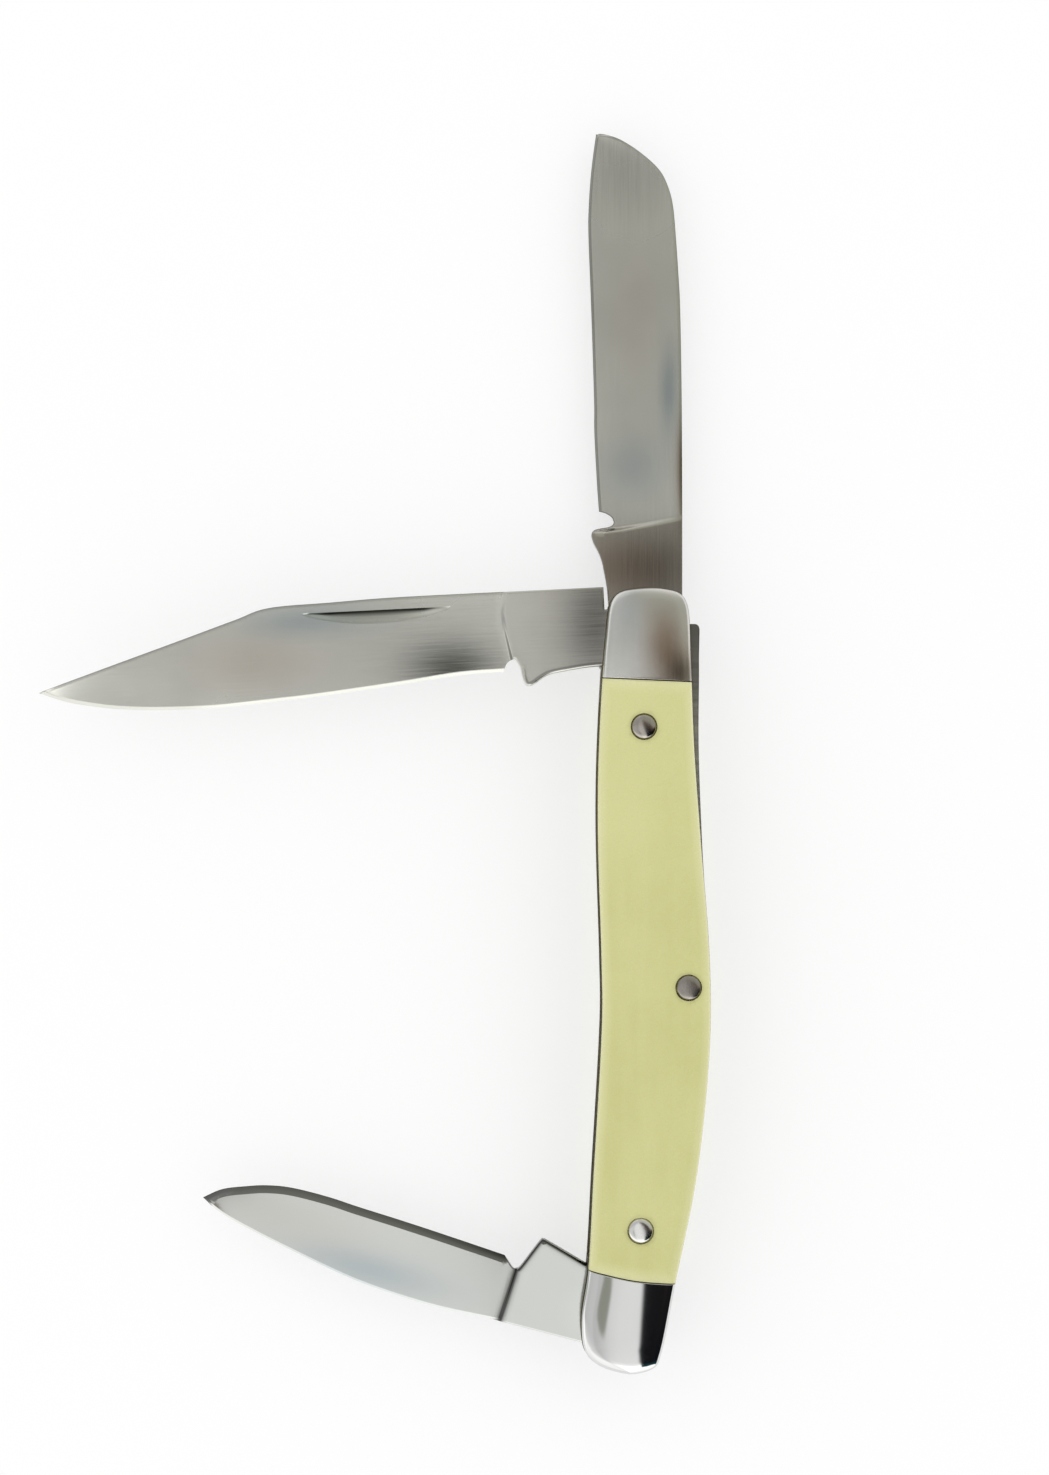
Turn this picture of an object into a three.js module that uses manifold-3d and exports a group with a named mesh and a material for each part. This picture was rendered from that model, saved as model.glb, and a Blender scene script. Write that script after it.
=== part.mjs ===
// A three-blade folding pocket knife lying on its back cover, with each blade on a spring of its own.
//
// Millimetres. +Y runs along the handle to the end with two blades, +Z is its thickness, and the
// back of the handle faces +X. The origin is the middle of the flat that the knife lies on.
import * as THREE from 'three';
import { mergeVertices } from 'three/addons/utils/BufferGeometryUtils.js';
import Module from 'manifold-3d';

const wasm = await Module();
wasm.setup();

// Handle
const handleLength = 89;
const coverThickness = 2.6;
const linerThickness = 0.5;
const springThickness = 2;
const dividerThickness = 0.4;
const edgeRoundWidth = 2;
const edgeRoundHeight = 1.4;
const edgeRoundSteps = 3;
const outlineDetail = 4;
const topBolsterLength = 10.5;
const topJointSlant = 0.45;
const bottomBolsterLength = 11.1;
const bottomJointSlant = 1.2;
const bottomJointSag = 0.35;
const jointGap = 0.12;

// Springs
const seatDepth = 2.3;
const pinDepth = 4.45;
const pinBulgeLength = 6;
const tailDepth = 2.6;
const tailBlockLength = 13;
const springLift = 1.15;
const springLiftStart = 9;
const springLiftCurve = 1.3;
const kickRoom = 1;

// Pins
const pivotRadius = 1.2;
const pinHeadRadius = 1.475;
const pinShankRadius = 1.1;
const coverPinFromJoint = 5.27;
const topCoverPinSide = -0.72;
const bottomCoverPinSide = -1.1;
const springPinSide = 4.31;
const springPinShift = -0.72;
const roundFacets = 32;

// Running clearances
const fixedClearance = 0.05;
const turningClearance = 0.06;
const sideClearance = 0.05;
const seatClearance = 0.04;
const kickClearance = 0.25;
const tipClearance = 1.6;

// Blades
const topPivotSide = -2;
const topPivotInset = 6.6;
const bottomPivotSide = -3.4;
const bottomPivotInset = 7;
const stepAhead = 2.9;
const smallCamLift = 0.2;
const edgeThickness = 0.35;
const nickDepth = 0.4;
const plungeLength = 0.5;
const sheepsfootReach = 59.1;
const penReach = 49.2;
const clipRestAngle = 92.8;
const clipClosedAngle = 179;
const sheepsfootClosedAngle = 177;
const penOpenAngle = -9;
const penRestAngle = -104.5;
const penClosedAngle = -179.5;

const topEnd = handleLength / 2;
const bottomEnd = -handleLength / 2;
const topPivot = new THREE.Vector2(topPivotSide, topEnd - topPivotInset);
const bottomPivot = new THREE.Vector2(bottomPivotSide, bottomEnd + bottomPivotInset);
const springPin = new THREE.Vector2(springPinSide, springPinShift);

// Layers from the table up
const backLinerBottom = coverThickness;
const sheepsfootLayer = backLinerBottom + linerThickness;
const rearDividerBottom = sheepsfootLayer + springThickness;
const penLayer = rearDividerBottom + dividerThickness;
const frontDividerBottom = penLayer + springThickness;
const clipLayer = frontDividerBottom + dividerThickness;
const frontLinerBottom = clipLayer + springThickness;
const frontCoverBottom = frontLinerBottom + linerThickness;
const thickness = frontCoverBottom + coverThickness;

// Outline of the handle as [share of the length from the bottom end, side], anticlockwise
const topArc = [[0.992, 3.5], [0.9994, 1.4], [1, -0.9], [0.9944, -3.4]];
const mouthEdge = [
  [0.982, -4.45], [0.935, -5.1], [0.815, -5.8], [0.702, -6], [0.522, -5.57], [0.455, -5.5],
  [0.246, -6.5], [0.13, -7.1], [0.067, -7.85], [0.028, -7.4],
];
const bottomArc = [[0.0118, -6], [0.0011, -3.3], [0, -1.5], [0.009, 0.7]];
const backEdge = [
  [0.026, 1.35], [0.113, 2.9], [0.258, 5.45], [0.425, 6.87], [0.534, 6.78], [0.68, 5.8],
  [0.8, 5.05], [0.904, 4.7], [0.979, 4.25],
];
const stations = [...topArc, ...mouthEdge, ...bottomArc, ...backEdge];
const outlineCurve = new THREE.CatmullRomCurve3(
  stations.map(([share, side]) => new THREE.Vector3(side, bottomEnd + share * handleLength, 0)),
  true,
);
const outline = outlineCurve.getPoints(stations.length * outlineDetail).slice(0, -1)
  .map((point) => new THREE.Vector2(point.x, point.y));

// Where the outline crosses a height, on the mouth side or on the back side
function sideAt(y, back) {
  const crossings = [];
  outline.forEach((from, index) => {
    const to = outline[(index + 1) % outline.length];
    if ((from.y - y) * (to.y - y) <= 0 && from.y !== to.y) {
      crossings.push(THREE.MathUtils.mapLinear(y, from.y, to.y, from.x, to.x));
    }
  });
  return back ? Math.max(...crossings) : Math.min(...crossings);
}

// Square to the slant that the back has beside the point
function distanceToBack(point) {
  const slant = Math.atan2(
    sideAt(point.y + pivotRadius, true) - sideAt(point.y - pivotRadius, true),
    2 * pivotRadius,
  );
  return (sideAt(point.y, true) - point.x) * Math.cos(slant);
}

// Solids
function solidOf(geometry) {
  geometry.deleteAttribute('normal');
  geometry.deleteAttribute('uv');
  const merged = mergeVertices(geometry);
  return new wasm.Manifold(new wasm.Mesh({
    numProp: 3,
    vertProperties: new Float32Array(merged.attributes.position.array),
    triVerts: new Uint32Array(merged.index.array),
  }));
}

function prism(points, bottom, top) {
  const geometry = new THREE.ExtrudeGeometry(new THREE.Shape(points), { depth: 1, bevelEnabled: false });
  const { position } = geometry.attributes;
  for (let index = 0; index < position.count; index += 1) {
    position.setZ(index, position.getZ(index) > 0.5 ? top : bottom);
  }
  return solidOf(geometry);
}

function circle(centre, radius, facets = roundFacets) {
  return Array.from({ length: facets }, (_, index) => {
    const angle = (2 * Math.PI * index) / facets;
    return new THREE.Vector2(centre.x + radius * Math.cos(angle), centre.y + radius * Math.sin(angle));
  });
}

// A hole whose flats clear a pin of this radius all round
function holeRadius(pinRadius, clearance) {
  return (pinRadius + clearance) / Math.cos(Math.PI / roundFacets);
}

function hole(centre, pinRadius, clearance = fixedClearance) {
  return prism(circle(centre, holeRadius(pinRadius, clearance)), -1, thickness + 1);
}

function smooth(points, stepsEach = 3) {
  const curve = new THREE.SplineCurve(points.map(([x, y]) => new THREE.Vector2(x, y)));
  return curve.getPoints((points.length - 1) * stepsEach);
}

function arc(radius, from, to, steps) {
  return Array.from({ length: steps + 1 }, (_, index) => {
    const angle = from + ((to - from) * index) / steps;
    return new THREE.Vector2(radius * Math.cos(angle), radius * Math.sin(angle));
  });
}

function placed(point, pivot, degrees, mirrored = false) {
  const turned = new THREE.Vector2(point.x, mirrored ? -point.y : point.y);
  return turned.rotateAround(new THREE.Vector2(), THREE.MathUtils.degToRad(degrees)).add(pivot);
}

// The whole handle as one rounded body, which every fixed plate is a slice of
function handleBody() {
  const rings = [];
  for (let step = 0; step <= edgeRoundSteps; step += 1) {
    const angle = (Math.PI / 2) * (step / edgeRoundSteps);
    rings.push([edgeRoundWidth * (1 - Math.sin(angle)), edgeRoundHeight * (1 - Math.cos(angle))]);
  }
  const levels = [
    ...rings,
    ...rings.toReversed().map(([inset, height]) => [inset, thickness - height]),
  ];
  const limit = topEnd - topBolsterLength / 2;
  const positions = [];
  levels.forEach(([inset, height]) => {
    outline.forEach((corner) => {
      const y = THREE.MathUtils.clamp(corner.y, -limit, limit);
      const middle = (sideAt(y, true) + sideAt(y, false)) / 2;
      const half = (sideAt(y, true) - sideAt(y, false)) / 2;
      positions.push(
        middle + (corner.x - middle) * (1 - inset / half),
        corner.y * (1 - inset / topEnd),
        height,
      );
    });
  });
  const count = outline.length;
  const indices = [];
  for (let level = 0; level < levels.length - 1; level += 1) {
    for (let index = 0; index < count; index += 1) {
      const here = level * count + index;
      const next = level * count + ((index + 1) % count);
      indices.push(here, next, here + count, next, next + count, here + count);
    }
  }
  const topRing = (levels.length - 1) * count;
  THREE.ShapeUtils.triangulateShape(outline, []).forEach(([a, b, c]) => {
    indices.push(a, c, b, topRing + a, topRing + b, topRing + c);
  });
  const geometry = new THREE.BufferGeometry();
  geometry.setAttribute('position', new THREE.Float32BufferAttribute(positions, 3));
  geometry.setIndex(indices);
  return solidOf(geometry);
}

const wholeHandle = handleBody();
const farSide = handleLength;

function box(left, right, low, high, bottom, top) {
  const corners = [[left, low], [right, low], [right, high], [left, high]];
  return prism(corners.map(([x, y]) => new THREE.Vector2(x, y)), bottom, top);
}

function slice(bottom, top) {
  return wholeHandle.intersect(box(-farSide, farSide, -farSide, farSide, bottom, top));
}

// Joint lines between the bolsters and the covers, moved along the handle by shift
function topJoint(shift) {
  const middle = topEnd - topBolsterLength + shift;
  const slant = (topJointSlant / (sideAt(middle, true) - sideAt(middle, false))) * farSide;
  return [new THREE.Vector2(-farSide, middle + slant), new THREE.Vector2(farSide, middle - slant)];
}

function bottomJoint(shift) {
  const middle = bottomEnd + bottomBolsterLength + shift;
  const left = sideAt(middle, false);
  const right = sideAt(middle, true);
  const start = middle + bottomJointSlant / 2;
  const end = middle - bottomJointSlant / 2;
  const line = smooth([[left, start], [(left + right) / 2, middle - bottomJointSag], [right, end]], 4);
  return [new THREE.Vector2(-farSide, start), ...line, new THREE.Vector2(farSide, end)];
}

function bolsterShape(bottom, top, upper) {
  const joint = upper ? topJoint(jointGap / 2) : bottomJoint(-jointGap / 2);
  const beyond = upper ? farSide : -farSide;
  const corners = [new THREE.Vector2(farSide, beyond), new THREE.Vector2(-farSide, beyond)];
  const pivot = upper ? topPivot : bottomPivot;
  return slice(bottom, top)
    .intersect(prism([...joint, ...corners], bottom - 1, top + 1))
    .subtract(hole(pivot, pivotRadius));
}

const topCoverPin = new THREE.Vector2(topCoverPinSide, topEnd - topBolsterLength - coverPinFromJoint);
const bottomCoverPin = new THREE.Vector2(
  bottomCoverPinSide,
  bottomEnd + bottomBolsterLength + coverPinFromJoint,
);

function coverShape(bottom, top) {
  const region = [...bottomJoint(jointGap / 2), ...topJoint(-jointGap / 2).toReversed()];
  return [topCoverPin, bottomCoverPin, springPin].reduce(
    (cover, pin) => cover.subtract(hole(pin, pinHeadRadius)),
    slice(bottom, top).intersect(prism(region, bottom - 1, top + 1)),
  );
}

function plate(bottom, top, coverPins) {
  const pins = [
    [topPivot, pivotRadius],
    [bottomPivot, pivotRadius],
    [springPin, pinShankRadius],
    ...coverPins.map((pin) => [pin, pinHeadRadius]),
  ];
  return pins.reduce(
    (solid, [pin, radius]) => solid.subtract(hole(pin, radius)),
    slice(bottom, top),
  );
}

// Pins
function flushPin(centre, radius, bottom, top) {
  return wholeHandle.intersect(prism(circle(centre, radius), bottom, top));
}

function springPinShape() {
  return flushPin(springPin, pinHeadRadius, -1, coverThickness)
    .add(prism(circle(springPin, pinShankRadius), coverThickness, frontCoverBottom))
    .add(flushPin(springPin, pinHeadRadius, frontCoverBottom, thickness + 1));
}

// Blades, drawn open with the pivot at 0,0, the tip up, the edge on the left and the spine on the
// right. Beyond the heel, heights are shares of the way from the heel to the tip
const topSpringSide = distanceToBack(topPivot) - seatDepth;
const bottomSpringSide = distanceToBack(bottomPivot) - seatDepth;
const liftAt = (y) => {
  const share = Math.max(0, (y - springLiftStart) / (topPivot.y + stepAhead - springLiftStart));
  return springLift * share ** springLiftCurve;
};
const clipReach = topPivot.y - (bottomEnd + tailBlockLength) - tipClearance;

const clip = {
  name: 'clip_blade',
  bottom: clipLayer,
  pivot: topPivot,
  rest: clipRestAngle,
  closed: clipClosedAngle,
  springSide: topSpringSide,
  seat: topSpringSide - seatClearance,
  cam: topSpringSide - seatClearance + liftAt(topPivot.y),
  reach: clipReach,
  heel: 14.7,
  spine: [[6.85, 0], [6.85, 0.24], [6.3, 0.497], [5.15, 0.569], [-2.34, 1]],
  edge: [
    [-2.34, 1], [-3.35, 0.938], [-4.15, 0.859], [-4.7, 0.72], [-4.7, 0.62], [-4.35, 0.503],
    [-3.05, 0.219], [-2.16, 0],
  ],
  choil: [[-1.4, 14.2], [-0.96, 13.6], [-1.55, 13.15], [-3.7, 12.3]],
  kick: new THREE.Vector2(-4, 11.85),
  underside: [[-3.7, 11.2], [-2.75, 9.8], [-2.4, 7.7], [-2.05, 5]],
  nick: { front: true, from: 20.3, to: 37.2, line: 5.35, deep: 1.35 },
};

const sheepsfoot = {
  name: 'sheepsfoot_blade',
  bottom: sheepsfootLayer,
  pivot: topPivot,
  rest: 0,
  closed: sheepsfootClosedAngle,
  springSide: topSpringSide,
  seat: topSpringSide - seatClearance - smallCamLift,
  cam: topSpringSide - seatClearance,
  reach: sheepsfootReach,
  heel: 15.65,
  spine: [
    [5.95, 0], [5.88, 0.3], [5.72, 0.53], [5.2, 0.732], [4.2, 0.868], [3.1, 0.911], [1.05, 0.952],
    [-1.1, 0.983], [-3.95, 1],
  ],
  edge: [[-3.95, 1], [-4.35, 0.935], [-4.83, 0.732], [-4.5, 0.53], [-4.18, 0.21], [-3.75, 0]],
  choil: [[-2.85, 15.3], [-2, 14.4], [-2.5, 13.8], [-4.14, 13.3]],
  kick: new THREE.Vector2(-4.5, 12.7),
  underside: [[-4.25, 11.9], [-3.45, 10], [-2.95, 7.7], [-2.6, 5.2]],
  nick: { front: false, from: 26, to: 41, line: 4.6, deep: 1.3 },
};

const pen = {
  name: 'pen_blade',
  bottom: penLayer,
  pivot: bottomPivot,
  rest: penRestAngle,
  closed: penClosedAngle,
  mirrored: true,
  springSide: bottomSpringSide,
  seat: bottomSpringSide - seatClearance - smallCamLift,
  cam: bottomSpringSide - seatClearance,
  reach: penReach,
  heel: 14.1,
  spine: [
    [5.1, 0], [5.35, 0.162], [5.2, 0.308], [4.8, 0.439], [4.15, 0.55], [3.27, 0.675], [2.26, 0.809],
    [1.18, 0.926], [0, 1],
  ],
  edge: [
    [0, 1], [-1.45, 0.945], [-2.5, 0.872], [-3.2, 0.807], [-3.6, 0.725], [-3.65, 0.607],
    [-3.16, 0.368], [-2.27, 0],
  ],
  choil: [[-1.8, 13.6], [-1.1, 12.8], [-1.15, 12.4], [-1.5, 12], [-4.8, 10.6]],
  kick: new THREE.Vector2(-5.1, 10.2),
  underside: [[-5.05, 9.7], [-3.7, 5]],
  nick: { front: false, from: 22, to: 35, line: 3.4, deep: 1.2 },
};

function bladeOutline(blade) {
  const along = ([x, share]) => [x, blade.heel + share * (blade.reach - blade.heel)];
  const spine = smooth(blade.spine.map(along));
  const edge = smooth(blade.edge.map(along));
  const shoulder = Math.sqrt(blade.cam ** 2 - blade.seat ** 2);
  const shoulderAngle = Math.atan2(shoulder, blade.seat);
  return [
    new THREE.Vector2(blade.seat, stepAhead),
    new THREE.Vector2(spine[0].x, stepAhead),
    ...spine,
    ...edge.slice(1),
    ...smooth([...blade.choil, blade.kick.toArray(), ...blade.underside], 2),
    new THREE.Vector2(-blade.seat, shoulder / 2),
    ...arc(blade.cam, Math.PI + shoulderAngle, 2 * Math.PI - shoulderAngle, 12),
  ];
}

function bladeShape(blade) {
  const half = springThickness / 2 - sideClearance;
  const middle = blade.bottom + springThickness / 2;
  const spineSide = Math.max(...blade.spine.map(([x]) => x));
  const edgeSide = Math.min(...blade.edge.map(([x]) => x));
  let solid = prism(bladeOutline(blade), middle - half, middle + half)
    .subtract(prism(circle(new THREE.Vector2(), holeRadius(pivotRadius, turningClearance)), -1, thickness));

  // Both faces taper from the spine to the edge, beyond the heel
  const grindStart = blade.heel - plungeLength;
  [1, -1].forEach((side) => {
    const section = [
      [spineSide, half], [spineSide, half + 1], [edgeSide - 1, half + 1], [edgeSide - 1, edgeThickness / 2],
      [edgeSide, edgeThickness / 2],
    ];
    const wedge = new THREE.ExtrudeGeometry(
      new THREE.Shape(section.map(([x, z]) => new THREE.Vector2(x, -z * side))),
      { depth: blade.reach, bevelEnabled: false },
    );
    wedge.rotateX(-Math.PI / 2).translate(0, grindStart, middle);
    solid = solid.subtract(solidOf(wedge));
  });

  const { nick } = blade;
  const nickMiddle = (nick.from + nick.to) / 2;
  const nickPoints = smooth(
    [[nick.line, nick.to], [nick.line - nick.deep, nickMiddle], [nick.line, nick.from]],
    5,
  );
  const taper = (half - edgeThickness / 2) / (spineSide - edgeSide);
  const face = half - taper * (spineSide - nick.line);
  const nickCut = nick.front
    ? prism(nickPoints, middle + face - nickDepth, middle + half + 1)
    : prism(nickPoints, middle - half - 1, middle - face + nickDepth);
  return solid.subtract(nickCut);
}

// The same solid with each corner moved, and turned inside out again where that mirrors it
function reshaped(solid, move, mirrors = false) {
  const { vertProperties, triVerts } = solid.getMesh();
  const vertices = new Float32Array(vertProperties);
  for (let index = 0; index < vertices.length; index += 3) {
    const [x, y] = move(vertices[index], vertices[index + 1]);
    vertices[index] = x;
    vertices[index + 1] = y;
  }
  const triangles = new Uint32Array(triVerts);
  if (mirrors) triangles.reverse();
  return new wasm.Manifold(new wasm.Mesh({ numProp: 3, vertProperties: vertices, triVerts: triangles }));
}

// A spring follows the back of the handle and ends in a block round the far pivot pin
function springShape(blade, openAngle, tailPivot) {
  const up = blade.mirrored ? -1 : 1;
  const { bottom } = blade;
  const top = bottom + springThickness;
  const atBlade = (x, y) => placed(new THREE.Vector2(x, y), blade.pivot, openAngle, blade.mirrored);
  const springEnd = stepAhead - 2 * fixedClearance;
  const kick = placed(blade.kick, blade.pivot, blade.closed, blade.mirrored);
  const kickSide = kick.x + kickClearance;
  const bulgeSide = sideAt(springPin.y, true) - pinDepth;
  const bulgeHalf = (up * pinBulgeLength) / 2;
  const block = up * (tailBlockLength - topEnd);
  const tailFrom = springPin.y - up * 3 * pinBulgeLength;
  const region = [
    atBlade(blade.springSide, springEnd + stepAhead),
    atBlade(blade.springSide, kickRoom - blade.cam),
    new THREE.Vector2(kickSide, kick.y + up * kickRoom),
    new THREE.Vector2(kickSide, kick.y - up * kickRoom),
    new THREE.Vector2(bulgeSide, springPin.y + bulgeHalf),
    new THREE.Vector2(bulgeSide, springPin.y - bulgeHalf),
    new THREE.Vector2(sideAt(tailFrom, true) - tailDepth, tailFrom),
    new THREE.Vector2(sideAt(block, true) - tailDepth, block),
    new THREE.Vector2(-farSide, block),
    new THREE.Vector2(-farSide, -up * farSide),
    new THREE.Vector2(farSide, -up * farSide),
    new THREE.Vector2(farSide, up * farSide),
  ];
  const beyondEnd = [
    atBlade(-farSide, springEnd), atBlade(farSide, springEnd),
    atBlade(farSide, farSide), atBlade(-farSide, farSide),
  ];
  return slice(bottom, top)
    .intersect(prism(region, bottom - 1, top + 1))
    .subtract(prism(beyondEnd, bottom - 1, top + 1))
    .subtract(hole(springPin, pinShankRadius))
    .subtract(hole(tailPivot, pivotRadius));
}

// Materials
function finish(color, roughness, metalness) {
  return new THREE.MeshStandardMaterial({ color, roughness, metalness });
}

const cover = finish(0xd3d398, 0.25, 0);
const nickelSilver = finish(0xb9b7ae, 0.18, 1);
const brass = finish(0x8f8350, 0.4, 1);
const springSteel = finish(0x77756f, 0.4, 1);
const bladeSteel = finish(0xb4b2aa, 0.3, 1);

// Assembly
const knife = new THREE.Group();

function piece(name, solid, material) {
  const { vertProperties, triVerts } = solid.getMesh();
  const geometry = new THREE.BufferGeometry();
  geometry.setAttribute('position', new THREE.BufferAttribute(new Float32Array(vertProperties), 3));
  geometry.setIndex(new THREE.BufferAttribute(new Uint32Array(triVerts), 1));
  geometry.computeVertexNormals();
  const mesh = new THREE.Mesh(geometry, material);
  mesh.name = name;
  knife.add(mesh);
  return mesh;
}

const coverSides = [
  ['back', 0, coverThickness, backLinerBottom],
  ['front', frontCoverBottom, thickness, frontLinerBottom],
];
coverSides.forEach(([side, bottom, top, linerBottom]) => {
  const linerTop = linerBottom + linerThickness;
  const pinBottom = Math.min(bottom, linerBottom);
  const pinTop = Math.max(top, linerTop);
  piece(`${side}_cover`, coverShape(bottom, top), cover);
  piece(`${side}_top_bolster`, bolsterShape(bottom, top, true), nickelSilver);
  piece(`${side}_bottom_bolster`, bolsterShape(bottom, top, false), nickelSilver);
  piece(`${side}_liner`, plate(linerBottom, linerTop, [topCoverPin, bottomCoverPin]), brass);
  const pins = { top: topCoverPin, bottom: bottomCoverPin };
  Object.entries(pins).forEach(([end, centre]) => {
    piece(`${side}_${end}_cover_pin`, flushPin(centre, pinHeadRadius, pinBottom, pinTop), nickelSilver);
  });
});
piece('rear_divider', plate(rearDividerBottom, penLayer, []), brass);
piece('front_divider', plate(frontDividerBottom, clipLayer, []), brass);
piece('top_pivot_pin', flushPin(topPivot, pivotRadius, -1, thickness + 1), nickelSilver);
piece('bottom_pivot_pin', flushPin(bottomPivot, pivotRadius, -1, thickness + 1), nickelSilver);
piece('spring_pin', springPinShape(), nickelSilver);

// At rest the half-open clip blade holds its spring up, and the other two lie flush
const raised = reshaped(springShape(clip, 0, bottomPivot), (x, y) => [x + liftAt(y), y]);
piece('clip_spring', raised, springSteel);
piece('sheepsfoot_spring', springShape(sheepsfoot, 0, bottomPivot), springSteel);
piece('pen_spring', springShape(pen, penOpenAngle, topPivot), springSteel);

[clip, sheepsfoot, pen].forEach((blade) => {
  const solid = bladeShape(blade);
  const shape = blade.mirrored ? reshaped(solid, (x, y) => [x, -y], true) : solid;
  const mesh = piece(blade.name, shape, bladeSteel);
  mesh.position.set(blade.pivot.x, blade.pivot.y, 0);
  mesh.rotation.z = THREE.MathUtils.degToRad(blade.rest);
});

export default knife;
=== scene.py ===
# A three-blade folding pocket knife lying open on a pale table.
# Lengths in the dictionaries are millimetres and angles are degrees. Meshes are made in metres.
import math
from functools import partial
import bpy
import numpy as np
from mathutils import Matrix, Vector
from mathutils.geometry import delaunay_2d_cdt
from mathutils.kdtree import KDTree


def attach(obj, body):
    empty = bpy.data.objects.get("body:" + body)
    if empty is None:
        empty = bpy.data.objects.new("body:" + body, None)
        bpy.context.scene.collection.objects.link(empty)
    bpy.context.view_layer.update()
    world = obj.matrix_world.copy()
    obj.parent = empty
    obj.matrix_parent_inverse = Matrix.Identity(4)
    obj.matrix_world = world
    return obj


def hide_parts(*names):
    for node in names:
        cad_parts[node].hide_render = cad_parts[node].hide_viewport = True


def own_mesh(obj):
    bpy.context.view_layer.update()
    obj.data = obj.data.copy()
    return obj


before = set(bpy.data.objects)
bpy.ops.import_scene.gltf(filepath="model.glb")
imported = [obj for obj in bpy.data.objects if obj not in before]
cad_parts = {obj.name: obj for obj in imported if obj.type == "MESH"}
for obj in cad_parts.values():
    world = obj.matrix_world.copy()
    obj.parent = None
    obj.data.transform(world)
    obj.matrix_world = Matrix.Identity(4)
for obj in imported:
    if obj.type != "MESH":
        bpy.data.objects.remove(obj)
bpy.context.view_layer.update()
scene = bpy.context.scene
mm = 0.001
meshing = {
    "batch": 2000,         # points measured at a time
    "rowShare": 0.87,      # rows of the staggered grid lie this close together
    "clearOfRim": 0.3,     # shares of the spacing that the grid keeps clear
    "clearOfRows": 0.42,
    # A row along a line keeps the points that lie farther from it than this share of the row's distance
    "rimKept": 0.93,
    "edgeKept": 0.96,
    "bevelKept": 0.97,
}

# Camera, straight above the table
photo = {"width": 1049, "height": 1475}
cameraSetup = {
    "above": (-14.2, 27.5),
    "height": 400.0,
    "pixelsPerMm": 8.83,
    "measuredAt": 11.0,    # level of the handle's outline
    "sensor": 36.0,
}


def makeCamera(setup):
    lensPixels = setup["pixelsPerMm"] * (setup["height"] - setup["measuredAt"])
    data = bpy.data.cameras.new("camera")
    data.sensor_fit = "VERTICAL"
    data.sensor_height = setup["sensor"]
    data.lens = setup["sensor"] * lensPixels / photo["height"]
    data.clip_start = 0.01
    made = bpy.data.objects.new("camera", data)
    made.location = (setup["above"][0] * mm, setup["above"][1] * mm, setup["height"] * mm)
    scene.collection.objects.link(made)
    scene.camera = made


makeCamera(cameraSetup)
scene.view_settings.view_transform = "Standard"


# Lines
def smoothLine(points, steps):
    given = np.array(points, float)
    padded = np.vstack([given[:1], given, given[-1:]])
    made = []
    for index in range(len(given) - 1):
        p0, p1, p2, p3 = padded[index:index + 4]
        for step in range(steps):
            t = step / steps
            bend = (2 * p0 - 5 * p1 + 4 * p2 - p3) * t ** 2 + (3 * p1 - p0 - 3 * p2 + p3) * t ** 3
            made.append(p1 + ((p2 - p0) * t + bend) / 2)
    return np.array(made + [given[-1]])


def closedLine(points, steps):
    given = np.array(points, float)
    count = len(given)
    made = []
    for index in range(count):
        p0, p1, p2, p3 = (given[(index + shift) % count] for shift in (-1, 0, 1, 2))
        d0, d1, d2 = (math.sqrt(np.linalg.norm(b - a)) for a, b in ((p0, p1), (p1, p2), (p2, p3)))
        leave = ((p1 - p0) / d0 - (p2 - p0) / (d0 + d1) + (p2 - p1) / d1) * d1
        arrive = ((p2 - p1) / d1 - (p3 - p1) / (d1 + d2) + (p3 - p2) / d2) * d1
        for step in range(steps):
            t = step / steps
            square = (3 * (p2 - p1) - 2 * leave - arrive) * t ** 2
            made.append(p1 + leave * t + square + (2 * (p1 - p2) + leave + arrive) * t ** 3)
    return np.array(made)


def evenly(line, spacing, closed=False):
    path = np.vstack([line, line[:1]]) if closed else np.array(line, float)
    lengths = np.concatenate([[0], np.cumsum(np.linalg.norm(np.diff(path, axis=0), axis=1))])
    count = max(2, int(math.ceil(lengths[-1] / spacing)))
    at = np.linspace(0, lengths[-1], count + 1)
    if closed:
        at = at[:-1]
    return np.column_stack([np.interp(at, lengths, path[:, axis]) for axis in (0, 1)])


def keepCorners(line, spacing, closed=True):
    # Puts points between the corners and keeps every corner
    path = np.vstack([line, line[:1]]) if closed else np.array(line, float)
    made = []
    for start, end in zip(path[:-1], path[1:]):
        count = max(1, int(round(np.linalg.norm(end - start) / spacing)))
        made.extend(start + (end - start) * step / count for step in range(count))
    return np.array(made if closed else made + [path[-1]])


def distanceTo(points, starts, ends):
    along = ends - starts
    lengths = np.maximum((along ** 2).sum(1), 1e-12)
    nearest = np.empty(len(points))
    for first in range(0, len(points), meshing["batch"]):
        some = slice(first, first + meshing["batch"])
        offset = points[some, None, :] - starts[None]
        share = np.clip((offset * along).sum(2) / lengths, 0, 1)
        gap = offset - share[..., None] * along
        nearest[some] = np.sqrt((gap ** 2).sum(2).min(1))
    return nearest


def distanceToLine(points, line):
    return distanceTo(points, line[:-1], line[1:])


def distanceToLoop(points, loop):
    return distanceTo(points, loop, np.roll(loop, -1, axis=0))


def ringOf(centre, radius, count=64):
    turns = np.linspace(0, 2 * math.pi, count, endpoint=False)
    return np.column_stack([centre[0] + radius * np.cos(turns), centre[1] + radius * np.sin(turns)])


def isInside(points, loop):
    x, y = points[:, :1], points[:, 1:]
    ends = np.roll(loop, -1, axis=0)
    spans = (loop[:, 1] > y) != (ends[:, 1] > y)
    rise = np.where(ends[:, 1] == loop[:, 1], 1, ends[:, 1] - loop[:, 1])
    crossing = loop[:, 0] + (ends[:, 0] - loop[:, 0]) * (y - loop[:, 1]) / rise
    return (spans & (x < crossing)).sum(1) % 2 == 1


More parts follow.
